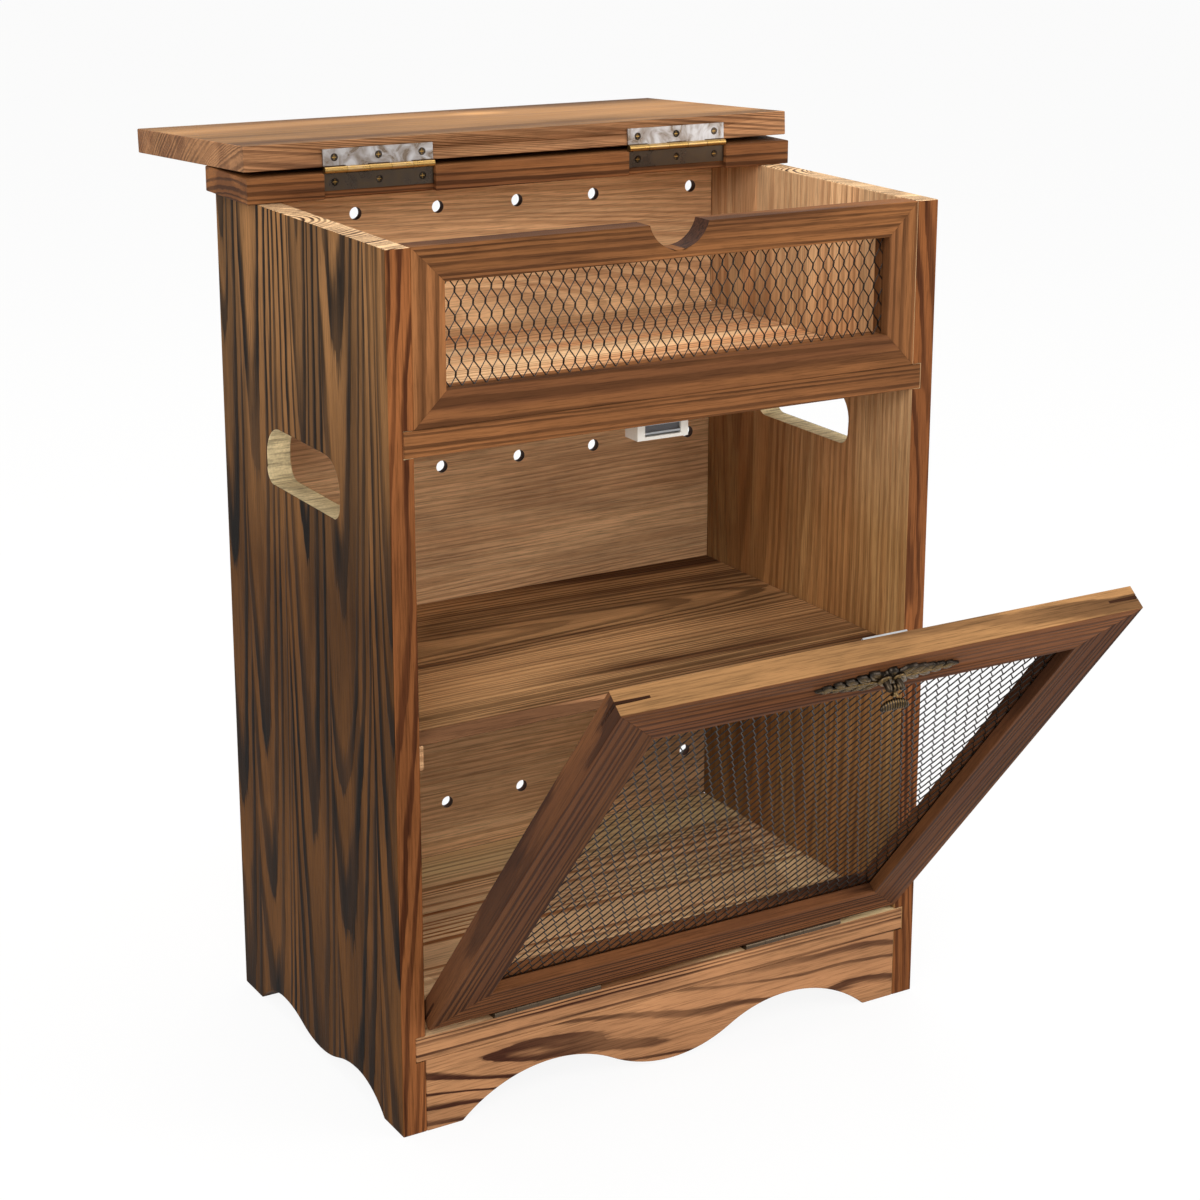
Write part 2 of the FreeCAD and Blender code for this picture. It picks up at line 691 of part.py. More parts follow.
def groove_box(left, low, right, high, width, front):
    """The space that the metal needs in all four members: the opening, grown by the groove."""
    reach = "%s - groove_depth" % width
    start = (
        "%s + (%s)" % (left, reach),
        "%s + board / 2 - groove_width / 2" % front,
        "%s + (%s)" % (low, reach),
    )
    size = (
        "%s - (%s) - 2 * (%s)" % (right, left, reach),
        "groove_width",
        "%s - (%s) - 2 * (%s)" % (high, low, reach),
    )
    return start, size


def top_frame():
    left, right = "-inner_width / 2", "inner_width / 2"
    low, high, front = "upper_board_top", "side_height", "-half_depth"
    groove = groove_box(left, low, right, high, "frame_width", front)
    for where in MEMBERS:
        body, tools = mitred_member(where, left, low, right, high, "frame_width", front, groove)
        if where == "top_rail":
            centre = ("0", "-half_depth", "side_height - notch_depth + notch_radius")
            tools.append(rod("finger_notch", centre, "+y", "notch_radius", "board"))
        name = "top_frame_" + where
        node(name, carve(name, body, tools))


def net_shape(left, front, low, width, height, step):
    """A flat upright sheet with staggered diamonds through it. step is how many pitches of the real
    metal one diamond takes, which keeps the large sheet light."""
    across, up = step * value("diamond_width"), step * value("diamond_height")
    strand = value("strand_width")
    half_across = across / 2 - strand * math.hypot(across, up) / (2 * up)
    half_up = half_across * up / across
    edge = NET_RIM * strand
    columns = int((width - 2 * edge) // across)
    rows = int((height - 2 * edge) // up)
    first_x = left + (width - columns * across) / 2 + across / 2
    first_z = low + (height - rows * up) / 2 + up / 2
    centres = [(first_x + i * across, first_z + j * up) for i in range(columns) for j in range(rows)]
    centres += [
        (first_x + (i + 0.5) * across, first_z + (j + 0.5) * up)
        for i in range(columns - 1)
        for j in range(rows - 1)
    ]
    rim = [(left, low), (left + width, low), (left + width, low + height), (left, low + height)]
    wires = [Part.makePolygon([FreeCAD.Vector(x, front, z) for x, z in rim + rim[:1]])]
    for x, z in centres:
        tips = [(x - half_across, z), (x, z - half_up), (x + half_across, z), (x, z + half_up)]
        wires.append(Part.makePolygon([FreeCAD.Vector(a, front, b) for a, b in tips + tips[:1]]))
    face = Part.makeFace(wires, "Part::FaceMakerBullseye")
    return face.extrude(FreeCAD.Vector(0, value("mesh_thickness"), 0))


def net(name, left, low, right, high, width, front, frame, step):
    """Expanded metal that stands in the groove of a mitred frame."""
    reach = value(width) - value("mesh_tongue")
    start = value(left) + reach
    bottom = value(low) + reach
    across, up = value(right) - reach - start, value(high) - reach - bottom
    face = value("%s + board / 2 - mesh_thickness / 2" % front)
    shape = net_shape(start, face, bottom, across, up, step)
    node(name, solid(name, shape), frame)


# Hinges. A leaf is drawn lying towards +Y from its pin, with its screwed face up or down.


def hinge_leaf(name, middle, way, first, frame):
    """way is 1 for a leaf whose wood is above the pin and -1 for one whose wood is below it. first
    is the number of its first knuckle, and it has every second one."""
    start = "%s - hinge_length / 2" % middle
    under = "leaf_face" if way > 0 else "-leaf_back"
    plate_size = ("hinge_length", "hinge_leaf_width - leaf_start", "leaf_thickness")
    parts = [box("plate", (start, "leaf_start", under), plate_size)]
    for index in range(first, int(value("knuckle_count")), 2):
        here = "%s + %d * knuckle_pitch + knuckle_gap / 2" % (start, index)
        length = "knuckle_pitch - knuckle_gap"
        parts.append(rod("knuckle", (here, "0", "0"), "+x", "knuckle_radius", length))
        parts.append(box("tab", (here, "0", under), (length, "leaf_start", "leaf_thickness")))
    bore = rod("bore", (start, "0", "0"), "+x", "pin_radius + pin_clearance", "hinge_length")
    face = "leaf_face" if way > 0 else "-leaf_face"
    places = hinge_screw_places(middle, "screw_inset", face)
    tools = [bore] + screw_holes("leaf_hole", "screw", places, "-z" if way > 0 else "+z")
    node(name, carve(name, join(name, parts), tools), frame)


def hinge_pin(name, middle, frame):
    start = ("%s - hinge_length / 2" % middle, "0", "0")
    node(name, rod(name, start, "+x", "pin_radius", "hinge_length"), frame)


def leaf_screws(name, spread, way, frame):
    face = "leaf_face" if way > 0 else "-leaf_face"
    places = []
    for _, middle in hinge_middles(spread):
        places += hinge_screw_places(middle, "screw_inset", face)
    screws(name, "screw", places, "-z" if way > 0 else "+z", frame)


def hinges(stem, spread, fixed_frame, moving_frame, fixed_way):
    """Two hinges: fixed leaves with the odd knuckles and the pins, moving leaves with the even ones."""
    for side, middle in hinge_middles(spread):
        hinge_leaf("%s_%s_fixed_leaf" % (stem, side), middle, fixed_way, 0, fixed_frame)
        hinge_leaf("%s_%s_moving_leaf" % (stem, side), middle, -fixed_way, 1, moving_frame)
        hinge_pin("%s_%s_pin" % (stem, side), middle, fixed_frame)
    leaf_screws(stem + "_fixed_screws", spread, fixed_way, fixed_frame)
    leaf_screws(stem + "_moving_screws", spread, -fixed_way, moving_frame)


# Rail and lid.


def hinge_rail():
    low = ("-lid_width / 2", "rail_front", "side_height")
    plain = box("rail", low, ("lid_width", "rail_depth", "board"))
    tools = []
    for _, middle in hinge_middles("lid_hinge_spread"):
        corner = ("%s - hinge_length / 2 - notch_end_gap" % middle, "rail_front", "side_height")
        size = ("hinge_length + 2 * notch_end_gap", "rail_notch_depth", "board")
        tools.append(box("rail_notch", corner, size))
        places = hinge_screw_places(middle, "lid_axis_y + leaf_face", "lid_axis_z - screw_inset")
        tools += screw_holes("rail_hole", "screw", places, "-y")
    node("hinge_rail", carve("hinge_rail", plain, tools))


def lid_board():
    low = ("-lid_width / 2", "-leaf_back - lid_depth", "-hinge_rise - board")
    plain = box("lid", low, ("lid_width", "lid_depth", "board"))
    tools = []
    for _, middle in hinge_middles("lid_hinge_spread"):
        places = hinge_screw_places(middle, "-leaf_face", "-screw_inset")
        tools += screw_holes("lid_hole", "screw", places, "+y")
    node("lid_board", carve("lid_board", plain, tools), "lid")


# Door, drawn closed with its hinge axis at the origin.


def door_corners():
    """Each corner's place across and up, each with the way from it into the door."""
    half = "door_width / 2"
    return (
        ("-" + half, 1, "leaf_back", 1),
        (half, -1, "leaf_back", 1),
        (half, -1, "door_top", -1),
        ("-" + half, 1, "door_top", -1),
    )


def corner_triangle(corner, leg, shy):
    """A triangle in a corner of the door, its outer edges shy of the door's by that much."""
    x, inward, z, upward = corner
    across = "%s + %d * (%s)" % (x, inward, shy)
    level = "%s + %d * (%s)" % (z, upward, shy)
    far_across = "%s + %d * (%s)" % (x, inward, leg)
    far_level = "%s + %d * (%s)" % (z, upward, leg)
    return ((across, level), (far_across, level), (across, far_level))


def door_frame():
    left, right = "-door_width / 2", "door_width / 2"
    low, high, front = "leaf_back", "door_top", "0"
    groove = groove_box(left, low, right, high, "door_frame_width", front)
    kerf_start = "board / 2 - kerf_width / 2"
    for where in MEMBERS:
        body, tools = mitred_member(where, left, low, right, high, "door_frame_width", front, groove)
        for corner in door_corners():
            outline = corner_triangle(corner, "spline_leg", "0")
            tools.append(padded("kerf", "XZ_Plane", outline, kerf_start, "kerf_width"))
        if where == "bottom_rail":
            for _, middle in hinge_middles("door_hinge_spread"):
                places = hinge_screw_places(middle, "screw_inset", "leaf_face")
                tools += screw_holes("door_hole", "screw", places, "-z")
        if where == "top_rail":
            tools += screw_holes("strike_hole", "strike_screw", strike_screw_place(), "+y")
            tools += screw_holes("pull_hole", "pull_screw", pull_screw_places(), "-y")
        name = "door_" + where
        node(name, carve(name, body, tools), "door")


def door_splines():
    group = []
    for corner in door_corners():
        outline = corner_triangle(corner, "spline_leg - 4 * spline_clearance", "2 * spline_clearance")
        points = [vector(x, "board / 2 - spline_thickness / 2", z) for x, z in outline]
        face = Part.Face(Part.makePolygon(points + points[:1]))
        group.append(face.extrude(FreeCAD.Vector(0, value("spline_thickness"), 0)))
    node("door_corner_splines", solid("door_corner_splines", Part.makeCompound(group)), "door")


# Magnetic catch and its strike.


def catch():
    low = ("-catch_width / 2", "catch_front", "catch_bottom")
    plain = box("housing", low, ("catch_width", "catch_depth", "catch_height"))
    pocket_low = ("-catch_cavity_width / 2", "catch_front", "cavity_bottom")
    pocket_size = ("catch_cavity_width", "catch_cavity_depth", "catch_cavity_height")
    tools = [box("pocket", pocket_low, pocket_size)]
    tools += screw_holes("housing_hole", "catch_screw", catch_screw_places(), "-z")
    node("catch_housing", carve("catch_housing", plain, tools))
    start = "catch_side_play - catch_cavity_width / 2"
    wide = "catch_cavity_width - 2 * catch_side_play"
    low = (start, "catch_front + magnet_setback", "cavity_middle - magnet_height / 2")
    size = (wide, "catch_cavity_depth - magnet_setback", "magnet_height")
    node("catch_magnet", box("magnet", low, size))
    plates = []
    for way in WAYS:
        middle = "cavity_middle + %d * (magnet_height + pole_thickness) / 2" % way
        corner = vector(start, "catch_front", middle + " - pole_thickness / 2")
        sizes = [value(f) for f in (wide, "catch_cavity_depth", "pole_thickness")]
        plates.append(Part.makeBox(*sizes, corner))
    node("catch_pole_plates", solid("catch_pole_plates", Part.makeCompound(plates)))
    screws("catch_screws", "catch_screw", catch_screw_places(), "-z")


def strike_screw_place():
    return [("0", "board + strike_thickness", "strike_middle")]


def strike():
    low = ("-strike_width / 2", "board", "strike_middle - strike_height / 2")
    plain = box("strike", low, ("strike_width", "strike_thickness", "strike_height"))
    tools = screw_holes("strike_hole", "strike_screw", strike_screw_place(), "+y")
    node("strike_plate", carve("strike_plate", plain, tools), "door")
    screws("strike_screw", "strike_screw", strike_screw_place(), "+y", "door")


# Pull.


def pull_screw_places():
    steps = ("-pull_screw_spread", "pull_screw_spread")
    return [(step, "-pull_plate_thickness", "pull_middle") for step in steps]


def pull_plate():
    """A back plate of overlapping lobes that shrink towards the tips, with two ears for the pivot."""
    count = int(value("pull_lobes"))
    big, tip = value("pull_lobe_radius"), value("pull_tip_radius")
    reach = value("pull_width") / 2 - tip
    thick = value("pull_plate_thickness")
    middle = value("pull_middle")
    lobes = [Part.makeCylinder(big, thick, FreeCAD.Vector(0, 0, middle), FORWARD)]
    for index in range(1, count + 1):
        share = index / count
        radius = big + (tip - big) * share
        for way in WAYS:
            spot = FreeCAD.Vector(way * reach * share, 0, middle)
            lobes.append(Part.makeCylinder(radius, thick, spot, FORWARD))
    spine = Part.makeBox(2 * reach, thick, 2 * tip, FreeCAD.Vector(-reach, -thick, middle - tip))
    shape = spine.fuse(lobes)
    shape = shape.fuse([ear_shape(way) for way in WAYS]).removeSplitter()
    thing = solid("plate", shape)
    tools = [pivot_rod("pivot_hole")] + screw_holes("plate_hole", "pull_screw", pull_screw_places(), "-y")
    node("pull_back_plate", carve("pull_back_plate", thing, tools), "door")


def ear_shape(way):
    thick, radius = value("ear_thickness"), value("ear_radius")
    out = value("ear_spread")
    low = out - thick if way > 0 else -out
    front, up = value("pull_standoff"), value("pivot_z")
    stem = Part.makeBox(thick, front, 2 * radius, FreeCAD.Vector(low, -front, up - radius))
    end = Part.makeCylinder(radius, thick, FreeCAD.Vector(low, -front, up), SIDEWAYS)
    return stem.fuse(end)


def pivot_rod(name):
    start = ("-ear_spread", "-pull_standoff", "pivot_z")
    return rod(name, start, "+x", "pivot_radius", "2 * ear_spread")


def pull_pivot():
    node("pull_pivot_pin", pivot_rod("pivot"), "door")


def pull_grip():
    """An eye on the pivot, a neck and a flat oval grip with rounded edges."""
    across, drop = value("eye_width"), value("grip_drop")
    eye = Part.makeCylinder(value("eye_radius"), across, FreeCAD.Vector(-across / 2, 0, 0), SIDEWAYS)
    neck_top = -value("pivot_radius + 2 * pivot_clearance")
    neck = Part.makeCylinder(value("neck_radius"), drop + neck_top, FreeCAD.Vector(0, 0, -drop))
    thick = value("grip_thickness")
    oval = Part.Ellipse(FreeCAD.Vector(0, 0, 0), value("grip_width / 2"), value("grip_height / 2"))
    plate = Part.Face(Part.Wire(oval.toShape())).extrude(FreeCAD.Vector(0, 0, thick))
    plate = plate.makeFillet(value("grip_round"), plate.Edges)
    upright = FreeCAD.Rotation(SIDEWAYS, 90)
    plate.Placement = FreeCAD.Placement(FreeCAD.Vector(0, thick / 2, -drop), upright)
    shape = eye.fuse([neck, plate]).removeSplitter()
    wide = value("pivot_radius + pivot_clearance")
    bore = Part.makeCylinder(wide, 2 * across, FreeCAD.Vector(-across, 0, 0), SIDEWAYS)
    node("pull_grip", solid("pull_grip", shape.cut(bore)), "grip")


def check_and_write():
    doc.recompute()
    for thing in doc.Objects:
        if {"Invalid", "Error"} & set(thing.State):
            raise RuntimeError("%s did not build: %s" % (thing.Label, thing.State))
    for thing in nodes:
        if thing.Shape.isNull() or not thing.Shape.isValid() or not thing.Shape.Solids:
            raise RuntimeError("%s is not a sound solid" % thing.Label)
    os.makedirs("parts", exist_ok=True)
    for thing in nodes:
        thing.Shape.exportStep(os.path.join("parts", thing.Label + ".step"))
    print("%d sub-parts written" % len(nodes))


def main():
    fill_sheets()
    for side, way in SIDES:
        side_panel("side_panel_" + side, way)
    bottom_board()
    upper_board()
    middle_shelf()
    shelf_cleats()
    back_panel()
    back_brads()
    front_apron()
    top_frame()
    net("top_frame_mesh", "-inner_width / 2", "upper_board_top", "inner_width / 2", "side_height",
        "frame_width", "-half_depth", "cabinet", BIN_NET_STEP)
    hinge_rail()
    lid_board()
    hinges("lid_hinge", "lid_hinge_spread", "rail_leaf", "lid_leaf", 1)
    door_frame()
    door_splines()
    net("door_mesh", "-door_width / 2", "leaf_back", "door_width / 2", "door_top",
        "door_frame_width", "0", "door", DOOR_NET_STEP)
    hinges("door_hinge", "door_hinge_spread", "sill_leaf", "door", -1)
    catch()
    strike()
    pull_plate()
    pull_pivot()
    screws("pull_screws", "pull_screw", pull_screw_places(), "-y", "door")
    pull_grip()
    check_and_write()


main()
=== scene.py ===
"""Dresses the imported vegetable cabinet: scorched and brushed softwood boards with eased edges, expanded
metal at its real pitch, antiqued hinges, screws and pull, a magnetic catch, and a pale stage."""
import json
import math

import bmesh
import bpy
from mathutils import Matrix, Vector


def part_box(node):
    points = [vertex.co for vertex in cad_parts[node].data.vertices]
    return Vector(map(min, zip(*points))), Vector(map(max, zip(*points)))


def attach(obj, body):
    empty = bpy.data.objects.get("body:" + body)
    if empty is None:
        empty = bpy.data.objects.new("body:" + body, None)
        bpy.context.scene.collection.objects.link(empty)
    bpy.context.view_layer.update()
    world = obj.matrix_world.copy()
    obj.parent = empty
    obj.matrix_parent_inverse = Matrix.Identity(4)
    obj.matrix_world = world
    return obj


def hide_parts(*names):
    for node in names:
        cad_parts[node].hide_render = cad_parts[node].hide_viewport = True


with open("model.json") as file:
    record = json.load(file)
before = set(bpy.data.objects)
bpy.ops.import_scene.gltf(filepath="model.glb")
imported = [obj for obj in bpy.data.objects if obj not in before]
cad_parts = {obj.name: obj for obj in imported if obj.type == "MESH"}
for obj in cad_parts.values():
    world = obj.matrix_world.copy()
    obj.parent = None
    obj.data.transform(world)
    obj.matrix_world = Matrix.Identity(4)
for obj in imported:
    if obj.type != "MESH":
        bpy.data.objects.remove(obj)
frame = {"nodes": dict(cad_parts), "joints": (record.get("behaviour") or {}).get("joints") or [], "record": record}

bl_info = {
    "name": "Vegetable cabinet looks",
    "version": (1, 0, 0),
    "blender": (4, 5, 0),
    "location": "View3D > Sidebar > Cabinet",
    "description": "Scorched boards, expanded metal, antiqued fittings and a stage for the packed cabinet",
    "category": "Object",
}

PHOTO_PIXELS = 1200

# The camera, as fitted to the photograph: millimetres in the cabinet's frame, degrees and pixels.
CAMERA_PLACE = (-739.12, -1303.09, 745.61)
CAMERA_YAW = -32.82
CAMERA_PITCH = -15.16
CAMERA_ROLL = 0.75
CAMERA_FOCAL_PIXELS = 2529.31
CAMERA_CENTRE_PIXELS = (716.61, 480.0)

JOINTS = {joint["name"]: joint for joint in frame["joints"]}
DOOR_TILT = -JOINTS["door_hinge"]["range_deg"][0]

# Boards: which edges are eased, and which faces are picked out for a material of their own.
MITRED = ("top_frame_", "door_")
SHORT_EDGE = 0.0019
DISSOLVE_ANGLE = math.radians(0.5)
SHARP_ANGLE = math.radians(28)
EDGE_MARGIN = 0.001
HAND_HOLE_REACH = 0.053
FOOT_HEIGHT = 0.1
NOTCH_REACH = 0.021
NOTCH_DEPTH = 0.0155

# Wood: how a board's grain is turned, the scales of its noises along and across the grain, per metre,
# the shape of its growth rings, and its gloss and relief.
BOARD_TURNS = {"along": (0.0, 0.0, 0.0), "upright": (0.0, 90.0, 0.0)}
LINE_STRENGTH = (5.0, 36.0)
FIBRE = (30.0, 1100.0)
HAIR = (80.0, 3000.0)
PATCHES = (5.0, 26.0)
CHARRED = (2.2, 30.0)
HONEY_CLOUDS = (2.6, 9.0)
STREAKS = (40.0, 700.0)
SAW_RIDGES = (40.0, 560.0)
TRUNK_STRETCH = (7.0, 1.0, 1.0)
BROAD_WAVE = 0.0022
SMALL_WAVE = 0.0012
SEASONS_PER_METRE = 70.0
SEASON_SPREAD = 0.013
STREAK_BLUR = 0.24
STRIP_DRAW = 31.7
PITH_SPREAD = (0.8, 0.07, 0.03)
# Spread of the pale oval painted as a highlight.
HIGHLIGHT_SPREAD = (0.026, 0.018, 0.05)
WOOD_ROUGHNESS = 0.58
WOOD_ROUGHNESS_SWING = 0.26
LATE_GLOSS = 0.06
WOOD_SHEEN = 0.03
WOOD_RELIEF = 0.0005
SAW_RELIEF = 0.0006

# Expanded metal: half the rise from bond to bond, a strand's turn, and how many strands wide a bond is.
STRAND_LIFT = 0.0003
STRAND_TWIST = math.radians(32)
BOND_STRANDS = 1.7

# Metal: from a screw head's face to where gold is painted as a glint in its recess, and the depth of the metal's
# relief.
RECESS_GLINT = 0.0003
METAL_RELIEF = 0.0002

# The pull's back plate: steps of its forms, and their shares and places.
LEAF_STEPS, LEAF_SIDES = 10, 6
LEAF_TEETH_DEPTH, LEAF_TEETH_TURN = 0.14, 22
LEAF_RIB_DEPTH, LEAF_RIB_WIDTH = 0.3, 0.16
LEAF_VEIN_DEPTH, LEAF_VEIN_TURN = 0.1, 13
LEAF_SHORTER, LEAF_NARROWER = 0.62, 0.55
LEAF_SPREAD, LEAF_SPREAD_LOST = 34, 20
TIP_MARGIN = 0.0001
DOME_RINGS, DOME_TURNS = 8, 40
DOME_PEAK, DOME_FALL = 0.02, 0.96
BOSS_PETALS, BOSS_PETAL_DEPTH = 8, 0.16
BUD_LIFT, BUD_WIDTH, BUD_HEIGHT, BUD_RISE = 0.0058, 0.0032, 0.0026, 0.0018
STALK_STEPS = 12
STALK_SHORT, STALK_OUT, STALK_DROP, STALK_THINNER = 0.006, 0.0024, 0.0006, 0.58
SCROLL_STEPS = 26
SCROLL_HALF_TURNS, SCROLL_TIGHTER, SCROLL_SQUASH = 3.3, 0.84, 0.9
SCROLL_OUT, SCROLL_LIFT = 0.0036, 0.0008
EAR_LIFT = 0.001
EAR_REACH = (0.0, 0.003, 0.006, 0.0085, 0.0102)
EAR_RADII = (0.0026, 0.0021, 0.0019, 0.0021, 0.0009)

# The pull's grip: its eye, its turned neck and its ribbed body.
EYE_STEPS = 16
EYE_SPACING = 0.0011
NECK_START = 0.0014
NECK_RADII = (0.0019, 0.0014, 0.0012, 0.0013, 0.0016, 0.0021, 0.0024)
GRIP_STEPS, GRIP_TURNS = 96, 16
GRIP_FULLNESS, GRIP_HORN = 3.2, 0.12
RIB_DEPTH = 0.2

# Stage: the floor's half width and how white it shows, and each lamp's place and size.
FLOOR_REACH = 16.0
FLOOR_WHITE = 0.9
LAMP_AIM = Vector((0.0, -0.05, 0.3))
LAMPS = (
    ("key", (-1.5, -1.9, 1.7), 1.7),
    ("fill", (1.7, -1.6, 1.2), 1.6),
    ("top", (0.2, 0.3, 2.4), 1.8),
)


def linear(code):
    """The scene-linear colour of a hexadecimal display colour."""
    parts = [int(code[i : i + 2], 16) / 255 for i in (1, 3, 5)]
    return [p / 12.92 if p <= 0.04045 else ((p + 0.055) / 1.055) ** 2.4 for p in parts] + [1.0]


def colour_property(label, about, code):
    return bpy.props.FloatVectorProperty(
        name=label, description=about, default=linear(code)[:3], size=3, min=0.0, max=1.0, subtype="COLOR"
    )


def length_property(label, about, metres):
    return bpy.props.FloatProperty(
        name=label, description=about, default=metres, min=0.0, precision=5, unit="LENGTH"
    )


def count_property(label, about, count):
    return bpy.props.IntProperty(name=label, description=about, default=count, min=1)


def power_property(label, about, watts):
    return bpy.props.FloatProperty(name=label, description=about, default=watts, min=0.0, unit="POWER")


class BoardLooks(bpy.types.PropertyGroup):
    """Edges and colours of the boards."""

    arris: length_property("Arris", "Rounding of the boards' edges", 0.0007)
    mitre_share: bpy.props.FloatProperty(
        name="Mitre share", description="Rounding at a mitre, as a share of the arris", default=0.28,
        min=0.0, max=1.0, subtype="FACTOR",
    )
    ring_width: length_property("Ring width", "Distance between two growth rings", 0.0038)
    early_outside: colour_property("Outside, early wood", "Pale wood of the outer faces", "#a9794b")
    late_outside: colour_property("Outside, late wood", "Scorched lines of the outer faces", "#1c1209")
    early_front: colour_property("Frame, early wood", "Pale wood of the frame and rails", "#8c5c37")
    late_front: colour_property("Frame, late wood", "Scorched lines of the frames and rails", "#372014")
    early_door: colour_property("Door rails, early wood", "Pale wood of the door's rails", "#754a2d")
    early_stile: colour_property("Door stiles, early wood", "Pale wood of the door's stiles", "#654026")
    early_edge: colour_property("Edges, early wood", "Pale wood of the sides' front edges", "#86522e")
    late_edge: colour_property("Edges, late wood", "Lines on the sides' front edges", "#482716")
    early_apron: colour_property("Apron, early wood", "Pale wood of the apron", "#b08059")
    late_apron: colour_property("Apron, late wood", "Scorched lines of the apron", "#41251a")
    early_flat: colour_property("Shelf, early wood", "Pale wood of the shelf", "#c3986a")
    early_lid: colour_property("Lid, early wood", "Pale wood of the lid", "#a67b50")
    early_inside: colour_property("Inside, early wood", "Pale wood of the inner boards", "#f0c496")
    late_inside: colour_property("Inside, late wood", "Lines of the inner boards", "#9a6640")
    cut_wood: colour_property("Fresh cut", "Wood laid bare by the hand holes", "#dac69b")


class MetalLooks(bpy.types.PropertyGroup):
    """Strands of the expanded metal, and colours of the metal and plastic fittings."""

    diamond_width: length_property("Diamond width", "Pitch of the diamonds across", 0.0074)
    diamond_height: length_property("Diamond height", "Pitch of the diamonds upwards", 0.0155)
    strand_width: length_property("Strand width", "Width of a strand", 0.00056)
    strand_depth: length_property("Strand depth", "Thickness of a strand", 0.0005)
    bond_length: length_property("Bond length", "Length of the bridge where strands meet", 0.0026)
    net_colour: colour_property("Net", "Black paint on the expanded metal", "#1e1915")
    knuckle_reach: length_property("Knuckle reach", "From a hinge's axis to where its gilt ends", 0.0021)
    patina: colour_property("Patina", "Dark patina of hinges and pull", "#4c4239")
    iron: colour_property("Iron", "Blackened metal of the pull and the screws", "#1f1a14")
    # Bronze is the light tone of the lid's moving leaf, painted lighter than the fixed leaf as painted light.
    bronze: colour_property("Bronze", "Metal of the hinges under the patina", "#b5b2b2")
    # Gold is also painted as glints in the lid screws' recesses.
    gold: colour_property("Gold", "Rubbed metal on high spots", "#a5834a")
    barrel: colour_property("Barrel", "Knuckles of the door's hinges", "#504335")
    plastic: colour_property("Plastic", "Housing of the catch", "#dcd9d2")
    steel: colour_property("Steel", "Bright plates, screws and brads", "#b9bbbd")
    magnet: colour_property("Magnet", "Sintered magnet", "#5a5a5e")


class PullLooks(bpy.types.PropertyGroup):
    """Leaves and scrolls of the pull's back plate and ribs of its grip."""

    plate_thickness: length_property("Plate thickness", "Thickness of the plate under its leaves", 0.0014)
    leaf_rows: count_property("Leaf rows", "Pairs of leaves on one wing", 5)
    leaf_start: length_property("Leaf start", "From the middle to the first pair of leaves", 0.004)
    leaf_step: length_property("Leaf step", "From one pair of leaves to the next", 0.0078)
    leaf_length: length_property("Leaf length", "Length of the first leaves", 0.0135)
    leaf_half_width: length_property("Leaf half width", "Half the width of the first leaves", 0.0034)
    leaf_rise: length_property("Leaf rise", "Height of the first leaves over the plate", 0.0016)
    tip_length: length_property("Tip length", "Length of the leaf at a wing's end", 0.0124)
    stalk_radius: length_property("Stalk radius", "Radius of a wing's stalk at the middle", 0.0012)
    scroll_radius: length_property("Scroll radius", "Radius of a scroll", 0.0044)
    scroll_bar: length_property("Scroll bar", "Radius of the bar that a scroll is rolled from", 0.0011)
    boss_width: length_property("Boss width", "Half the width of the lobed boss", 0.0078)
    boss_height: length_property("Boss height", "Half the height of the lobed boss", 0.0066)
    boss_rise: length_property("Boss rise", "Height of the lobed boss over the plate", 0.0022)
    ear_offset: length_property("Ear offset", "From the middle to an ear that holds the pin", 0.0038)
    eye_radius: length_property("Eye radius", "Radius of the grip's eye", 0.0015)
    eye_bar: length_property("Eye bar", "Radius of the bar of the grip's eye", 0.0008)
    neck_length: length_property("Neck length", "From the eye to the grip's body", 0.003)
    ribs: count_property("Ribs", "Ribs of the grip", 12)
    grip_thickness: length_property("Grip thickness", "Half the thickness of the grip's body", 0.0031)
    grip_depth: length_property("Grip depth", "Half the depth of the grip's body", 0.0021)
    grip_sag: length_property("Grip sag", "How far the grip's ends hang down", 0.0016)
    grip_margin: length_property("Grip margin", "Between the grip's ends and its solid's sides", 0.0002)


class StageLooks(bpy.types.PropertyGroup):
    """Floor and lamps."""

    floor_colour: colour_property("Floor", "Pale floor", "#f2f2f2")
    key_power: power_property("Key lamp", "Power of the large lamp at the left front", 42.0)
    fill_power: power_property("Fill lamp", "Power of the lamp at the right front", 24.0)
    top_power: power_property("Top lamp", "Power of the lamp overhead", 28.0)
    sky: bpy.props.FloatProperty(
        name="Sky", description="Strength of the even light from all round", default=0.68, min=0.0
    )


def colour(values):
    """The colour with an alpha of 1."""
    return list(values) + [1.0]


def shade(colour_values, factor):
    """The colour made darker or lighter by a factor."""
    return [min(1.0, c * factor) for c in list(colour_values)[:3]] + [1.0]


# Material building.


def backdrop_rays(tree):
    """1 for the rays that show the backdrop: the camera's, and those that metal and glass pass on."""
    path = add(tree, "ShaderNodeLightPath").outputs
    passed_on = maths(tree, "MAXIMUM", path["Is Glossy Ray"], path["Is Transmission Ray"])
    return maths(tree, "MAXIMUM", path["Is Camera Ray"], passed_on)


def fresh_material(name):
    """A new material with only an output and a Principled shader."""
    material = bpy.data.materials.new(name)
    material.use_nodes = True
    tree = material.node_tree
    tree.nodes.clear()
    shader = add(tree, "ShaderNodeBsdfPrincipled")
    add(tree, "ShaderNodeOutputMaterial", {"Surface": shader.outputs["BSDF"]})
    return material, tree, shader


def add(tree, kind, sockets=None, **settings):
    """A node with its settings, and each input socket set to a value or linked to an output."""
    node = tree.nodes.new(kind)
    for name, setting in settings.items():
        setattr(node, name, setting)
    for key, content in (sockets or {}).items():
        target = node.inputs[key]
        if isinstance(content, bpy.types.NodeSocket):
            tree.links.new(content, target)
        else:
            target.default_value = content
    return node


def maths(tree, operation, *terms):
    return add(tree, "ShaderNodeMath", dict(enumerate(terms)), operation=operation).outputs[0]


def vector_maths(tree, operation, *terms):
    node = add(tree, "ShaderNodeVectorMath", dict(enumerate(terms)), operation=operation)
    return node.outputs["Value" if operation == "LENGTH" else "Vector"]


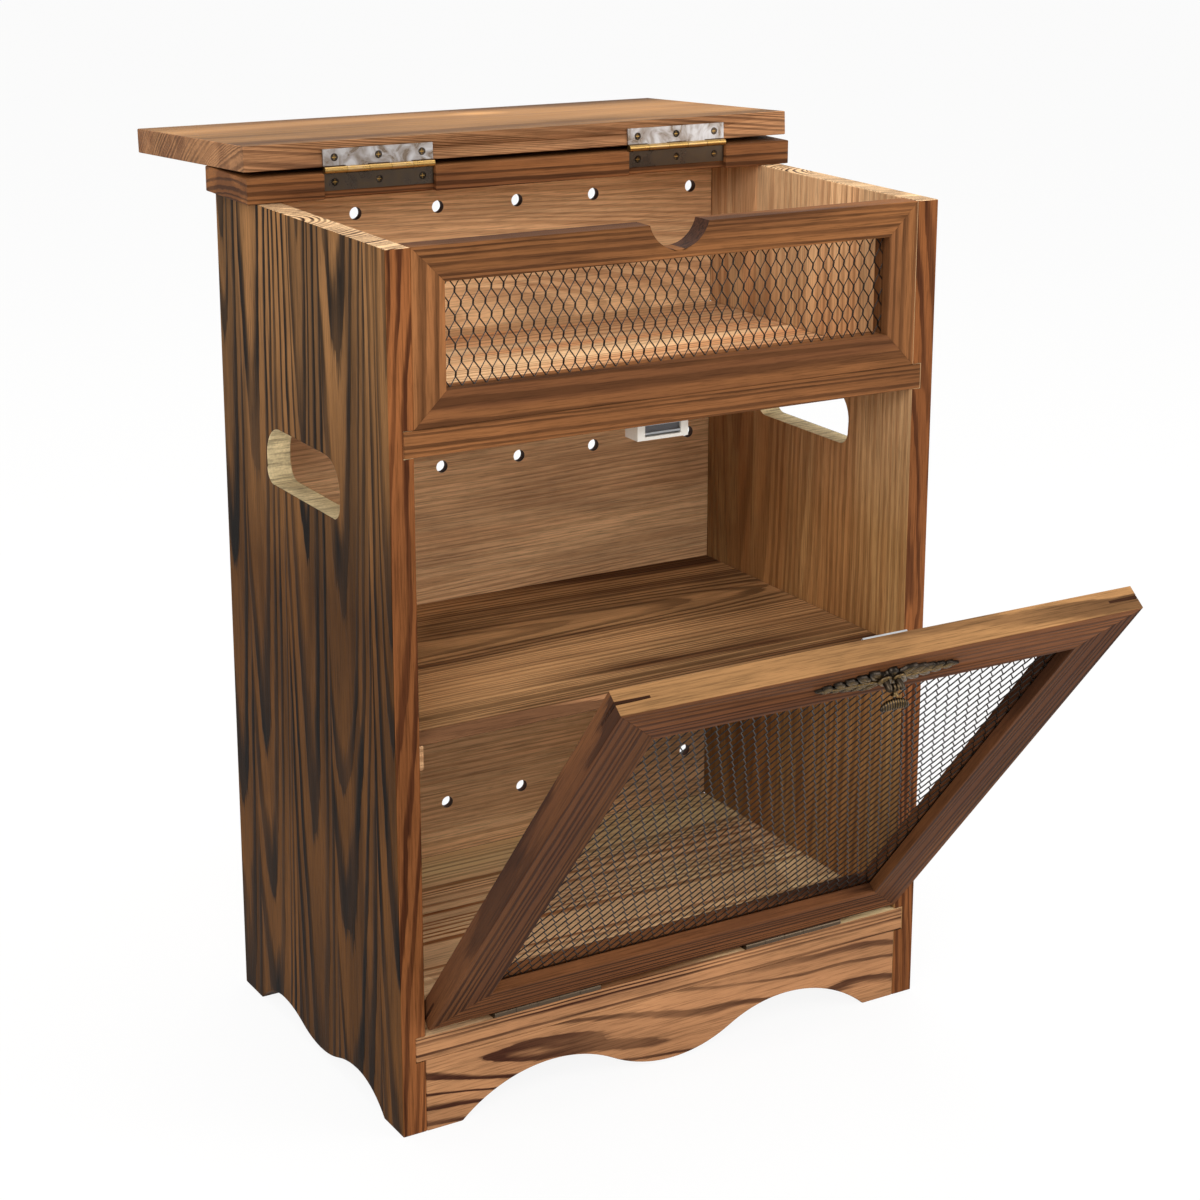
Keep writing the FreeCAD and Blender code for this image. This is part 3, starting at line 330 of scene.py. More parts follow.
def ramp(tree, factor, *stops):
    """A colour ramp: each stop is a position and a colour or a grey level."""
    node = add(tree, "ShaderNodeValToRGB", {"Fac": factor})
    elements = node.color_ramp.elements
    while len(elements) < len(stops):
        elements.new(0.5)
    for element, (position, level) in zip(elements, stops):
        element.position = position
        element.color = level if isinstance(level, (list, tuple)) else (level, level, level, 1.0)
    return node.outputs["Color"]


def mix(tree, kind, factor, first, second):
    """Mixes two colours; kind is MIX, MULTIPLY or another blend."""
    node = add(tree, "ShaderNodeMix", {0: factor, 6: first, 7: second}, data_type="RGBA", blend_type=kind)
    return node.outputs[2]


def noise(tree, vector, scale, detail=2.0, roughness=0.5, distortion=0.0):
    sockets = {"Vector": vector, "Scale": scale, "Detail": detail}
    sockets.update({"Roughness": roughness, "Distortion": distortion})
    return add(tree, "ShaderNodeTexNoise", sockets).outputs["Fac"]


def wandering(tree, pattern, middle, swing):
    """A level that wanders round a middle with a pattern from 0 to 1."""
    return maths(tree, "MULTIPLY_ADD", pattern, swing, middle - swing / 2)


def roughen(tree, shader, height, strength, distance):
    """Raises the shader's surface by a height from 0 to 1."""
    bump = add(tree, "ShaderNodeBump", {"Height": height, "Strength": strength, "Distance": distance})
    tree.links.new(bump.outputs[0], shader.inputs["Normal"])


def stretched(tree, vector, scales):
    """The vector scaled along the grain and across it, for streaks."""
    along, across = scales
    node = add(tree, "ShaderNodeMapping", {"Vector": vector, "Scale": (along, across, across)})
    return node.outputs["Vector"]


def board_vector(tree, turn, tilt):
    """Object coordinates turned so that X runs along the grain. tilt turns a tilted panel back."""
    place = add(tree, "ShaderNodeTexCoord").outputs["Object"]
    upright = add(tree, "ShaderNodeMapping", {"Vector": place, "Rotation": (math.radians(-tilt), 0.0, 0.0)})
    angles = [math.radians(a) for a in BOARD_TURNS[turn]]
    return add(tree, "ShaderNodeMapping", {"Vector": upright.outputs[0], "Rotation": angles}).outputs[0]


def glued_strips(tree, grain, strip, seed):
    """Gives each strip of a glued up panel a tree of its own, with its pith somewhere under the strip.
    Returns the shifted vector and one random grey for each strip."""
    across = add(tree, "ShaderNodeSeparateXYZ", {0: grain}).outputs[1]
    number = maths(tree, "FLOOR", maths(tree, "DIVIDE", maths(tree, "ADD", across, seed), strip))
    draw = maths(tree, "ADD", number, seed * STRIP_DRAW)
    chance = add(tree, "ShaderNodeTexWhiteNoise", {"W": draw}, noise_dimensions="1D")
    middle = maths(tree, "SUBTRACT", seed - strip / 2, maths(tree, "MULTIPLY", number, strip))
    home = add(tree, "ShaderNodeCombineXYZ", {1: middle}).outputs[0]
    shift = vector_maths(tree, "SUBTRACT", chance.outputs["Color"], (0.5, 0.5, 0.5))
    shift = vector_maths(tree, "MULTIPLY", shift, PITH_SPREAD)
    moved = vector_maths(tree, "ADD", vector_maths(tree, "ADD", grain, shift), home)
    return moved, chance.outputs["Value"]


def growth_rings(tree, grain, centre, lean, width, waves, late_share):
    """0 in pale early wood to 1 in dark late wood, round a pith that slants through the board."""
    sockets = {"Vector": grain, "Location": centre, "Rotation": [math.radians(a) for a in lean]}
    sockets["Scale"] = TRUNK_STRETCH
    pith = add(tree, "ShaderNodeMapping", sockets, vector_type="TEXTURE").outputs[0]
    radius = vector_maths(tree, "LENGTH", vector_maths(tree, "MULTIPLY", pith, (0.0, 1.0, 1.0)))
    broad = noise(tree, pith, 26.0, 2.0, 0.5)
    small = noise(tree, pith, 150.0, 2.0, 0.5)
    radius = maths(tree, "MULTIPLY_ADD", broad, BROAD_WAVE * waves, radius)
    radius = maths(tree, "MULTIPLY_ADD", small, SMALL_WAVE, radius)
    sockets = {"W": maths(tree, "MULTIPLY", radius, SEASONS_PER_METRE), "Scale": 1.0, "Detail": 1.0}
    seasons = add(tree, "ShaderNodeTexNoise", sockets, noise_dimensions="1D").outputs["Fac"]
    radius = maths(tree, "MULTIPLY_ADD", seasons, SEASON_SPREAD, radius)
    phase = maths(tree, "FRACT", maths(tree, "DIVIDE", radius, width))
    streak = noise(tree, stretched(tree, grain, STREAKS), 1.0, 3.0)
    phase = maths(tree, "ADD", phase, wandering(tree, streak, 0.0, STREAK_BLUR))
    turn = 1.0 - late_share
    late = ((turn, 0.0), (turn + 0.3 * late_share, 0.8), (turn + 0.5 * late_share, 1.0))
    return ramp(tree, phase, (0.0, 0.9), (0.06, 0.1), (0.14, 0.0), *late)


def early_wood(tree, laid, early, chance):
    """Early wood in paler and darker patches, and with a chance from 0 to 1 a tone for each strip."""
    patch = noise(tree, stretched(tree, laid, PATCHES), 1.0, 3.0, 0.55, 0.6)
    patch = ramp(tree, patch, (0.32, 0.0), (0.68, 1.0))
    tone = mix(tree, "MIX", patch, shade(early, 0.7), shade(early, 1.2))
    if chance:
        tone = mix(tree, "MULTIPLY", 1.0, tone, ramp(tree, chance, (0.0, 0.72), (1.0, 1.0)))
    return tone


def scorched(tree, laid, base, ring, late, scorch):
    """Charred streaks along the grain, darkest in the late wood."""
    char = noise(tree, stretched(tree, laid, CHARRED), 1.0, 3.0, 0.5, 0.5)
    char = maths(tree, "MULTIPLY", ramp(tree, char, (0.48, 0.0), (0.62, 1.0)), scorch)
    return mix(tree, "MIX", char, base, mix(tree, "MIX", ring, shade(late, 2.2), shade(late, 1.0)))


def honeyed(tree, grain, base, lines, early, honey):
    """Clouds of warm pale wood between the lines."""
    glow = noise(tree, stretched(tree, grain, HONEY_CLOUDS), 1.0, 2.0)
    glow = ramp(tree, glow, (0.5, 0.0), (0.7, honey))
    glow = maths(tree, "MULTIPLY", glow, maths(tree, "MULTIPLY_ADD", lines, -0.6, 1.0))
    return mix(tree, "MIX", glow, base, shade(early, 1.5))


def painted_shade_at_foot(tree, grain, base, foot_shade):
    """Painted shade: the grain's low end darkened and browned to a share of its tone."""
    along = add(tree, "ShaderNodeSeparateXYZ", {0: grain}).outputs[0]
    low_shade = [foot_shade, foot_shade * 0.84, foot_shade * 0.6, 1.0]
    return mix(tree, "MULTIPLY", 1.0, base, ramp(tree, along, (0.3, low_shade), (0.48, 1.0)))


def painted_highlight_oval(tree, grain, base, early, spot):
    """A painted highlight: a pale oval round a point of the board."""
    away = vector_maths(tree, "DIVIDE", vector_maths(tree, "SUBTRACT", grain, spot), HIGHLIGHT_SPREAD)
    away = vector_maths(tree, "LENGTH", away)
    return mix(tree, "MIX", ramp(tree, away, (0.1, 0.75), (1.0, 0.0)), base, shade(early, 1.9))


def wood_material(name, early, late, turn="along", tilt=0.0, centre=(0.0, 0.0, 0.0), lean=(0.0, 6.0, 0.0),
                  rings=1.0, waves=4.0, lines=1.0, scorch=0.5, late_share=0.48, honey=0.0, foot_shade=1.0,
                  spot=None, strip=0.0, seed=0.5):
    """Scorched softwood. centre is a point of the tree's pith and lean its slant to the board, rings
    scales the ring width, waves their waviness, lines how dark they are, late_share the dark part of a
    ring, scorch how much of the board is charred, honey how much of it glows, the foot setting how much
    painted shade darkens the grain's low end, spot the middle of a pale oval painted as a highlight,
    strip the width of a glued up panel's strips, and seed draws their trees."""
    looks = bpy.context.scene.board_looks
    material, tree, shader = fresh_material(name)
    grain = board_vector(tree, turn, tilt)
    laid, chance = glued_strips(tree, grain, strip, seed) if strip else (grain, None)
    ring = growth_rings(tree, laid, centre, lean, looks.ring_width * rings, waves, late_share)
    strength = noise(tree, stretched(tree, laid, LINE_STRENGTH), 1.0, 2.0)
    strength = ramp(tree, strength, (0.3, 0.4), (0.58, 1.0))
    fibre = noise(tree, stretched(tree, laid, FIBRE), 1.0, 4.0, 0.62)
    hair = noise(tree, stretched(tree, laid, HAIR), 1.0, 2.0, 0.5)
    drawn = maths(tree, "MULTIPLY", maths(tree, "MULTIPLY", ring, strength), lines)
    base = mix(tree, "MIX", drawn, early_wood(tree, laid, early, chance), shade(late, 1.0))
    base = mix(tree, "MULTIPLY", 0.85, base, ramp(tree, fibre, (0.3, 0.45), (0.54, 1.0)))
    base = mix(tree, "MULTIPLY", 0.6, base, ramp(tree, hair, (0.3, 0.4), (0.42, 1.0)))
    base = scorched(tree, laid, base, ring, late, scorch)
    if honey:
        base = honeyed(tree, grain, base, drawn, early, honey)
    # Painted shade: the grain's low end is darker towards the foot.
    if foot_shade < 1:
        base = painted_shade_at_foot(tree, grain, base, foot_shade)
    # A pale oval painted as a highlight.
    if spot:
        base = painted_highlight_oval(tree, grain, base, early, spot)
    tree.links.new(base, shader.inputs["Base Color"])
    rough = wandering(tree, fibre, WOOD_ROUGHNESS, WOOD_ROUGHNESS_SWING)
    rough = maths(tree, "SUBTRACT", rough, maths(tree, "MULTIPLY", ring, LATE_GLOSS))
    tree.links.new(rough, shader.inputs["Roughness"])
    shader.inputs["Specular IOR Level"].default_value = WOOD_SHEEN
    relief = maths(tree, "MULTIPLY_ADD", fibre, 0.5, maths(tree, "MULTIPLY", ring, 0.8))
    relief = maths(tree, "MULTIPLY_ADD", hair, 0.25, relief)
    roughen(tree, shader, relief, 0.55, WOOD_RELIEF)
    return material


def bare_wood_material(name, base_colour, tilt=0.0, dark=0.35):
    """Wood as the saw leaves it: ridges through the board's thickness, and specks of end grain."""
    material, tree, shader = fresh_material(name)
    grain = board_vector(tree, "along", tilt)
    ridge = noise(tree, stretched(tree, grain, SAW_RIDGES), 1.0, 3.0, 0.6)
    speck = noise(tree, grain, 700.0, 3.0, 0.6)
    cloud = noise(tree, grain, 60.0, 3.0, 0.5)
    tone = ramp(tree, cloud, (0.35, 0.0), (0.68, 1.0))
    base = mix(tree, "MIX", tone, shade(base_colour, 1.05), shade(base_colour, dark + 0.4))
    base = mix(tree, "MULTIPLY", 0.85, base, ramp(tree, ridge, (0.34, dark), (0.54, 1.0)))
    base = mix(tree, "MULTIPLY", 0.4, base, ramp(tree, speck, (0.3, dark), (0.6, 1.0)))
    tree.links.new(base, shader.inputs["Base Color"])
    shader.inputs["Roughness"].default_value = 0.8
    shader.inputs["Specular IOR Level"].default_value = 0.2
    height = maths(tree, "ADD", ridge, maths(tree, "MULTIPLY", speck, 0.4))
    roughen(tree, shader, height, 0.6, SAW_RELIEF)
    return material


def bronze_material(name, dark, bright, gold, rub=1.0, rough=0.3, axis=None, heads=None):
    """Antiqued metal: soft clouds of patina, gilded where rubbed bright, and painted glints in screw recesses."""
    material, tree, shader = fresh_material(name)
    place = add(tree, "ShaderNodeTexCoord").outputs["Object"]
    cloud = noise(tree, place, 80.0, 4.0, 0.55, 1.6)
    fine = noise(tree, place, 1300.0, 3.0, 0.6)
    base = mix(tree, "MIX", ramp(tree, cloud, (0.36, 0.0), (0.64, 1.0)), colour(dark), colour(bright))
    base = mix(tree, "MIX", gilt_and_glint_share(tree, place, fine, rub, axis, heads), base, colour(gold))
    tree.links.new(base, shader.inputs["Base Color"])
    shader.inputs["Metallic"].default_value = 0.9
    tree.links.new(wandering(tree, cloud, rough, 0.24), shader.inputs["Roughness"])
    roughen(tree, shader, maths(tree, "ADD", fine, cloud), 0.15, METAL_RELIEF)
    return material


def gilt_and_glint_share(tree, place, fine, rub, axis, heads):
    """How much gold shows: a painted glint behind the face of the screws' heads or, with an axis, the
    knuckles' gilt round it or, with neither, where the rub attribute says that hands reach."""
    if heads is not None:
        # Painted glints: gold wherever the screw lies behind its head's face.
        inward = add(tree, "ShaderNodeSeparateXYZ", {0: place}).outputs[1]
        return maths(tree, "GREATER_THAN", inward, heads + RECESS_GLINT)
    if axis:
        away = vector_maths(tree, "SUBTRACT", place, axis)
        reach = vector_maths(tree, "LENGTH", vector_maths(tree, "MULTIPLY", away, (0.0, 1.0, 1.0)))
        on_knuckle = maths(tree, "LESS_THAN", reach, bpy.context.scene.metal_looks.knuckle_reach)
        return maths(tree, "MULTIPLY", on_knuckle, ramp(tree, fine, (0.3, 0.55), (0.55, 1.0)))
    reached = add(tree, "ShaderNodeAttribute", attribute_name="rub").outputs["Fac"]
    worn = ramp(tree, fine, (0.4, 0.3), (0.6, 1.0))
    return maths(tree, "MULTIPLY", ramp(tree, reached, (0.35, 0.0), (0.95, rub)), worn)


def plain_material(name, base_colour, rough, metallic, grit=900.0, depth=0.12):
    """Paint, plastic or bright metal with a fine unevenness in tone, gloss and surface."""
    material, tree, shader = fresh_material(name)
    place = add(tree, "ShaderNodeTexCoord").outputs["Object"]
    fine = noise(tree, place, grit, 4.0, 0.6)
    cloud = noise(tree, place, grit / 12, 3.0)
    tone = ramp(tree, cloud, (0.3, 0.0), (0.7, 1.0))
    base = mix(tree, "MIX", tone, shade(base_colour, 0.86), shade(base_colour, 1.08))
    tree.links.new(base, shader.inputs["Base Color"])
    shader.inputs["Metallic"].default_value = metallic
    tree.links.new(wandering(tree, fine, rough, 0.22), shader.inputs["Roughness"])
    roughen(tree, shader, fine, depth, METAL_RELIEF)
    return material


# Mesh building.


def door_matrix():
    """From the closed door's own axes, with its hinge at the origin, to the door as it stands."""
    place = Matrix.Translation(Vector(JOINTS["door_hinge"]["pos_m"]))
    return place @ Matrix.Rotation(math.radians(DOOR_TILT), 4, "X")


def local_box(node, matrix):
    """Lowest and highest corner of a CAD node in the axes of a matrix."""
    back = matrix.inverted()
    points = [back @ vertex.co for vertex in frame["nodes"][node].data.vertices]
    low = Vector([min(p[i] for p in points) for i in range(3)])
    high = Vector([max(p[i] for p in points) for i in range(3)])
    return low, high


def body_of_node(node):
    """The body that a CAD node rides on."""
    for body, names in frame["record"]["behaviour"]["bodies"].items():
        if node in names:
            return body
    raise ValueError("no body holds " + node)


def show(name, mesh, materials, nodes, body=None):
    """Links a mesh as a piece that stands for CAD nodes and rides on their body."""
    piece = bpy.data.objects.new(name, mesh)
    bpy.context.scene.collection.objects.link(piece)
    for material in materials:
        mesh.materials.append(material)
    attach(piece, body or body_of_node(nodes[0]))
    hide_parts(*nodes)
    return piece


def give(node, material):
    """Gives a CAD node a material in place of its own."""
    mesh = frame["nodes"][node].data
    mesh.materials.clear()
    mesh.materials.append(material)


def is_mitre(face, tilt):
    """True for the slanting end of a frame's member."""
    normal = Matrix.Rotation(math.radians(-tilt), 3, "X") @ face.normal
    return abs(normal.x) > 0.3 and abs(normal.z) > 0.3


def eased_board(node, materials, tilt=0.0, faces=None, arris=-1):
    """A copy of a CAD board whose arrises are rounded. faces gives a face the number of its material, and
    arris is the number for the roundings, or -1 where they follow the faces."""
    looks = bpy.context.scene.board_looks
    work = bmesh.new()
    work.from_mesh(frame["nodes"][node].data)
    bmesh.ops.remove_doubles(work, verts=work.verts, dist=1e-6)
    bmesh.ops.dissolve_limit(work, angle_limit=DISSOLVE_ANGLE, verts=work.verts, edges=work.edges)
    work.normal_update()
    weight = work.edges.layers.float.new("bevel_weight_edge")
    mitred = node.startswith(MITRED)
    for edge in work.edges:
        if len(edge.link_faces) != 2 or not edge.is_convex:
            continue
        if edge.calc_length() < SHORT_EDGE or edge.calc_face_angle() < SHARP_ANGLE:
            continue
        at_mitre = mitred and any(is_mitre(face, tilt) for face in edge.link_faces)
        edge[weight] = looks.mitre_share if at_mitre else 1.0
    for face in work.faces:
        face.smooth = True
        face.material_index = faces(face) if faces else 0
    mesh = bpy.data.meshes.new(node + "_board")
    work.to_mesh(mesh)
    work.free()
    mesh.set_sharp_from_angle(angle=SHARP_ANGLE)
    piece = show("wood_" + node, mesh, materials, [node])
    bevel = piece.modifiers.new("arris", "BEVEL")
    bevel.width = looks.arris
    bevel.segments = 2
    bevel.limit_method = "WEIGHT"
    bevel.use_clamp_overlap = False
    bevel.harden_normals = True
    bevel.material = arris


def clipped(start, end, low, high):
    """The stretch of a line inside a rectangle, or None."""
    near, far = 0.0, 1.0
    for axis in (0, 1):
        run = end[axis] - start[axis]
        if abs(run) < 1e-9:
            if not low[axis] <= start[axis] <= high[axis]:
                return None
            continue
        first, last = sorted(((low[axis] - start[axis]) / run, (high[axis] - start[axis]) / run))
        near, far = max(near, first), min(far, last)
    if near >= far:
        return None
    return start.lerp(end, near), start.lerp(end, far)


def strand(points, faces, start, end, width, depth, twist):
    """A flat bar from start to end, in across, up and out, turned about its length."""
    along = (end - start).normalized()
    flat = along.cross(Vector((0, 0, 1))).normalized()
    out = flat.cross(along)
    wide = (flat * math.cos(twist) + out * math.sin(twist)) * width / 2
    thick = (out * math.cos(twist) - flat * math.sin(twist)) * depth / 2
    first = len(points)
    for spot in (start, end):
        points += [spot - wide - thick, spot + wide - thick, spot + wide + thick, spot - wide + thick]
    faces += [
        tuple(first + i for i in quad)
        for quad in ((0, 1, 2, 3), (7, 6, 5, 4), (0, 4, 5, 1), (1, 5, 6, 2), (2, 6, 7, 3), (3, 7, 4, 0))
    ]


def net_mesh(name, low, high, matrix):
    """Expanded metal that fills a box: slanted strands that meet at short upright bonds."""
    looks = bpy.context.scene.metal_looks
    across, up = looks.diamond_width / 2, looks.diamond_height / 2
    bond = looks.bond_length / 2
    middle = Vector(((low.x + high.x) / 2, (low.z + high.z) / 2))
    bottom, top = Vector((low.x, low.z)), Vector((high.x, high.z))
    columns = int((high.x - low.x) / 2 / across) + 2
    rows = int((high.z - low.z) / 2 / up) + 2
    points, faces = [], []

    def lay(start, start_out, end, end_out, width, twist):
        piece = clipped(start, end, bottom, top)
        if piece:
            near, far = [Vector((p.x, p.y, o)) for p, o in zip(piece, (start_out, end_out))]
            strand(points, faces, near, far, width, looks.strand_depth, twist)

    for i in range(-columns, columns + 1):
        for j in range(-rows, rows + 1):
            if (i + j) % 2:
                continue
            spot = middle + Vector((i * across, j * up))
            over, under = spot + Vector((0, bond)), spot - Vector((0, bond))
            lay(under, -STRAND_LIFT, over, STRAND_LIFT, BOND_STRANDS * looks.strand_width, 0.0)
            for way in (-1, 1):
                reach = spot + Vector((way * across, up - bond))
                lay(over, STRAND_LIFT, reach, -STRAND_LIFT, looks.strand_width, way * STRAND_TWIST)
    sheet = (low.y + high.y) / 2
    mesh = bpy.data.meshes.new(name)
    mesh.from_pydata([matrix @ Vector((p.x, sheet - p.z, p.y)) for p in points], [], faces)
    mesh.update()
    return mesh


def leaf(work, rub, matrix, root, angle, length, half_width, rise, base):
    """A pointed, domed leaf with a sunk rib, lying on the plate. Root and angle are in the door's face."""
    way = Vector((math.cos(angle), math.sin(angle)))
    square = Vector((-way.y, way.x))
    tops, floors = [], []
    for i in range(LEAF_STEPS + 1):
        share = i / LEAF_STEPS
        outline = math.sin(math.pi * min(1.0, share * 0.86 + 0.14)) ** 0.8
        teeth = 1 + LEAF_TEETH_DEPTH * math.cos(share * LEAF_TEETH_TURN)
        swell = math.sin(math.pi * (0.12 + 0.86 * share)) ** 0.6
        tops.append([])
        floors.append([])
        for k in range(-LEAF_SIDES, LEAF_SIDES + 1):
            side = k / LEAF_SIDES
            spot = root + way * length * share + square * half_width * outline * teeth * side
            crown = (1 - side**2) ** 0.7 * swell
            groove = LEAF_RIB_DEPTH * math.exp(-((side / LEAF_RIB_WIDTH) ** 2))
            groove += LEAF_VEIN_DEPTH * math.cos(side * LEAF_VEIN_TURN)
            height = base + rise * max(0.0, crown - groove * crown)
            tops[-1].append(vertex(work, rub, matrix, spot, height, crown - groove))
            floors[-1].append(vertex(work, rub, matrix, spot, 0.0, 0.0))
    close_shell(work, tops, floors)


def vertex(work, rub, matrix, spot, out, glow):
    """A point given in the matrix's face and out from it, with its share of rub."""
    made = work.verts.new(matrix @ Vector((spot.x, -out, spot.y)))
    made[rub] = max(0.0, min(1.0, glow))
    return made


def close_shell(work, tops, floors):
    """Faces over two matching grids of vertices, and a wall round their edge."""
    last_row, last_column = len(tops) - 1, len(tops[0]) - 1
    for i in range(last_row):
        for k in range(last_column):
            work.faces.new((tops[i][k], tops[i][k + 1], tops[i + 1][k + 1], tops[i + 1][k]))
            work.faces.new((floors[i][k], floors[i + 1][k], floors[i + 1][k + 1], floors[i][k + 1]))
    rim = [(0, k) for k in range(last_column)] + [(i, last_column) for i in range(last_row)]
    rim += [(last_row, k) for k in range(last_column, 0, -1)] + [(i, 0) for i in range(last_row, 0, -1)]
    for (a, b), (c, d) in zip(rim, rim[1:] + rim[:1]):
        work.faces.new((tops[a][b], floors[a][b], floors[c][d], tops[c][d]))


def dome(work, rub, matrix, middle, wide, high, rise, base, petals=0, depth=0.0):
    """A low round boss; petals cut its rim into lobes."""
    tops, floors = [], []
    for i in range(DOME_RINGS + 1):
        share = i / DOME_RINGS
        tops.append([])
        floors.append([])
        for k in range(DOME_TURNS + 1):
            angle = 2 * math.pi * k / DOME_TURNS
            lobe = 1 - depth * share * (0.5 + 0.5 * math.cos(petals * angle)) if petals else 1.0
            rim = Vector((wide * math.cos(angle), high * math.sin(angle)))
            spot = middle + rim * max(share, DOME_PEAK) * lobe
            height = base + rise * math.sqrt(max(0.0, 1 - share**2 * DOME_FALL))
            tops[-1].append(vertex(work, rub, matrix, spot, height, 1 - 0.9 * share))
            floors[-1].append(vertex(work, rub, matrix, spot, 0.0, 0.0))
    close_shell(work, tops, floors)


def tube(work, rub, matrix, path, radii, glow, sides=10):
    """A round bar along points given as across, out and up."""
    rings = []
    for index, (spot, radius) in enumerate(zip(path, radii)):
        ahead = path[min(index + 1, len(path) - 1)] - path[max(index - 1, 0)]
        ahead.normalize()
        square = ahead.orthogonal().normalized()
        if rings:
            square = (last - ahead * last.dot(ahead)).normalized()
        last = square
        other = ahead.cross(square)
        ring = []
        for k in range(sides):
            angle = 2 * math.pi * k / sides
            spoke = (square * math.cos(angle) + other * math.sin(angle)) * radius
            point = spot + spoke
            made = work.verts.new(matrix @ Vector((point.x, -point.y, point.z)))
            made[rub] = max(0.0, min(1.0, glow * (0.5 + spoke.y / max(radius, 1e-6) * 0.5)))
            ring.append(made)
        rings.append(ring)
    skin(work, rings)


def skin(work, rings):
    """Faces from each ring to the next, and over both ends."""
    sides = len(rings[0])
    for first, second in zip(rings, rings[1:]):
        for k in range(sides):
            after = (k + 1) % sides
            work.faces.new((first[k], first[after], second[after], second[k]))
    work.faces.new(list(reversed(rings[0])))
    work.faces.new(rings[-1])


def finished_mesh(work, name):
    """The welded mesh with faces turned outwards and smooth."""
    bmesh.ops.remove_doubles(work, verts=work.verts, dist=1e-7)
    bmesh.ops.recalc_face_normals(work, faces=work.faces)
    for face in work.faces:
        face.smooth = True
    mesh = bpy.data.meshes.new(name)
    work.to_mesh(mesh)
    work.free()
    mesh.set_sharp_from_angle(angle=math.radians(50))
    return mesh


# Operators.


def board_plan():
    """Each board's material: colours, grain, pith and strength of its lines."""
    looks = bpy.context.scene.board_looks
    out = (looks.early_outside, looks.late_outside)
    front = (looks.early_front, looks.late_front)
    bold = (looks.early_apron, looks.late_apron)
    inside = (looks.early_inside, looks.late_inside)
    rail = (looks.early_door, looks.late_front)
    stile = (looks.early_stile, looks.late_front)
    shelf = (looks.early_flat, looks.late_front)
    lid = (looks.early_lid, looks.late_front)
    # The sides are painted darker towards the foot, as painted shade.
    side = dict(turn="upright", strip=0.058, waves=4.0, rings=1.5, scorch=0.5, foot_shade=0.34)
    slim = dict(rings=1.1, waves=1.0, scorch=0.6)
    upright = dict(slim, turn="upright", lines=0.5, scorch=0.3)
    door = dict(slim, tilt=DOOR_TILT)
    stiles = dict(upright, tilt=DOOR_TILT, lines=1.0, scorch=0.8)
    # Middle of the lid's painted highlight, a pale oval.
    spot = (0.03, 0.185, 0.53)
    return {
        "side_panel_left": (out, dict(side, centre=(0.5, 0.0, 0.2), lean=(0, 2.7, 0), seed=0.147)),
        "side_panel_right": (out, dict(side, centre=(0.3, 0.01, -0.2), lean=(0, -2.7, 0), seed=0.35)),
        "back_panel": (inside, dict(centre=(0.1, 0.16, 0.42), lean=(0, 0, 5), lines=0.4, scorch=0.15)),
        "upper_board": (inside, dict(slim, centre=(0.3, -0.1, 0.25), lean=(0, 0.6, 0), lines=0.6)),
        "bottom_board": (inside, dict(slim, centre=(-0.3, -0.1, -0.12), lean=(0, 0.6, 0), scorch=0.1,
                                      honey=0.9)),
        "middle_shelf": (shelf, dict(centre=(0.25, 0.03, 0.2), lean=(0, 3, 0), honey=1.0, waves=2.5,
                                     lines=0.7, scorch=0.85)),
        "shelf_cleat_left": (inside, dict(centre=(0.0, 0.0, 0.1), lines=0.6)),
        "shelf_cleat_right": (inside, dict(centre=(0.0, 0.0, 0.1), lines=0.6)),
        "front_apron": (bold, dict(centre=(-0.05, -0.138, 0.03), lean=(0, 9, 0), waves=14, rings=2.2,
                                   scorch=0.2, late_share=0.36)),
        "hinge_rail": (front, dict(slim, centre=(0.4, 0.07, 0.35), lean=(0, 0.6, 0), lines=0.7)),
        "lid_board": (lid, dict(centre=(0.3, 0.15, 0.49), lean=(0, 3, 0), lines=0.55, honey=0.7, strip=0.07,
                                spot=spot)),
        "top_frame_top_rail": (front, dict(slim, centre=(0.2, -0.12, 0.36), lean=(0, 0.5, 0), lines=0.75)),
        "top_frame_bottom_rail": (front, dict(slim, centre=(-0.3, -0.13, 0.36), lean=(0, 1.2, 0), rings=2.4,
                                              lines=0.6)),
        "top_frame_left_stile": (front, dict(upright, centre=(0.5, -0.12, 0.3), lean=(0, 1, 0), rings=2.2)),
        "top_frame_right_stile": (front, dict(upright, centre=(0.5, -0.12, -0.3), lean=(0, 1, 0), rings=1.6)),
        "door_top_rail": (rail, dict(door, centre=(0.2, -0.06, 0.3), lean=(0, 0.6, 0), lines=0.8)),
        "door_bottom_rail": (rail, dict(door, centre=(-0.2, -0.06, 0.0), lean=(0, 0.6, 0))),
        "door_left_stile": (stile, dict(stiles, centre=(0.3, -0.05, 0.3), lean=(0, 0.8, 0))),
        "door_right_stile": (stile, dict(stiles, centre=(0.1, -0.05, -0.3), lean=(0, 0.8, 0))),
    }


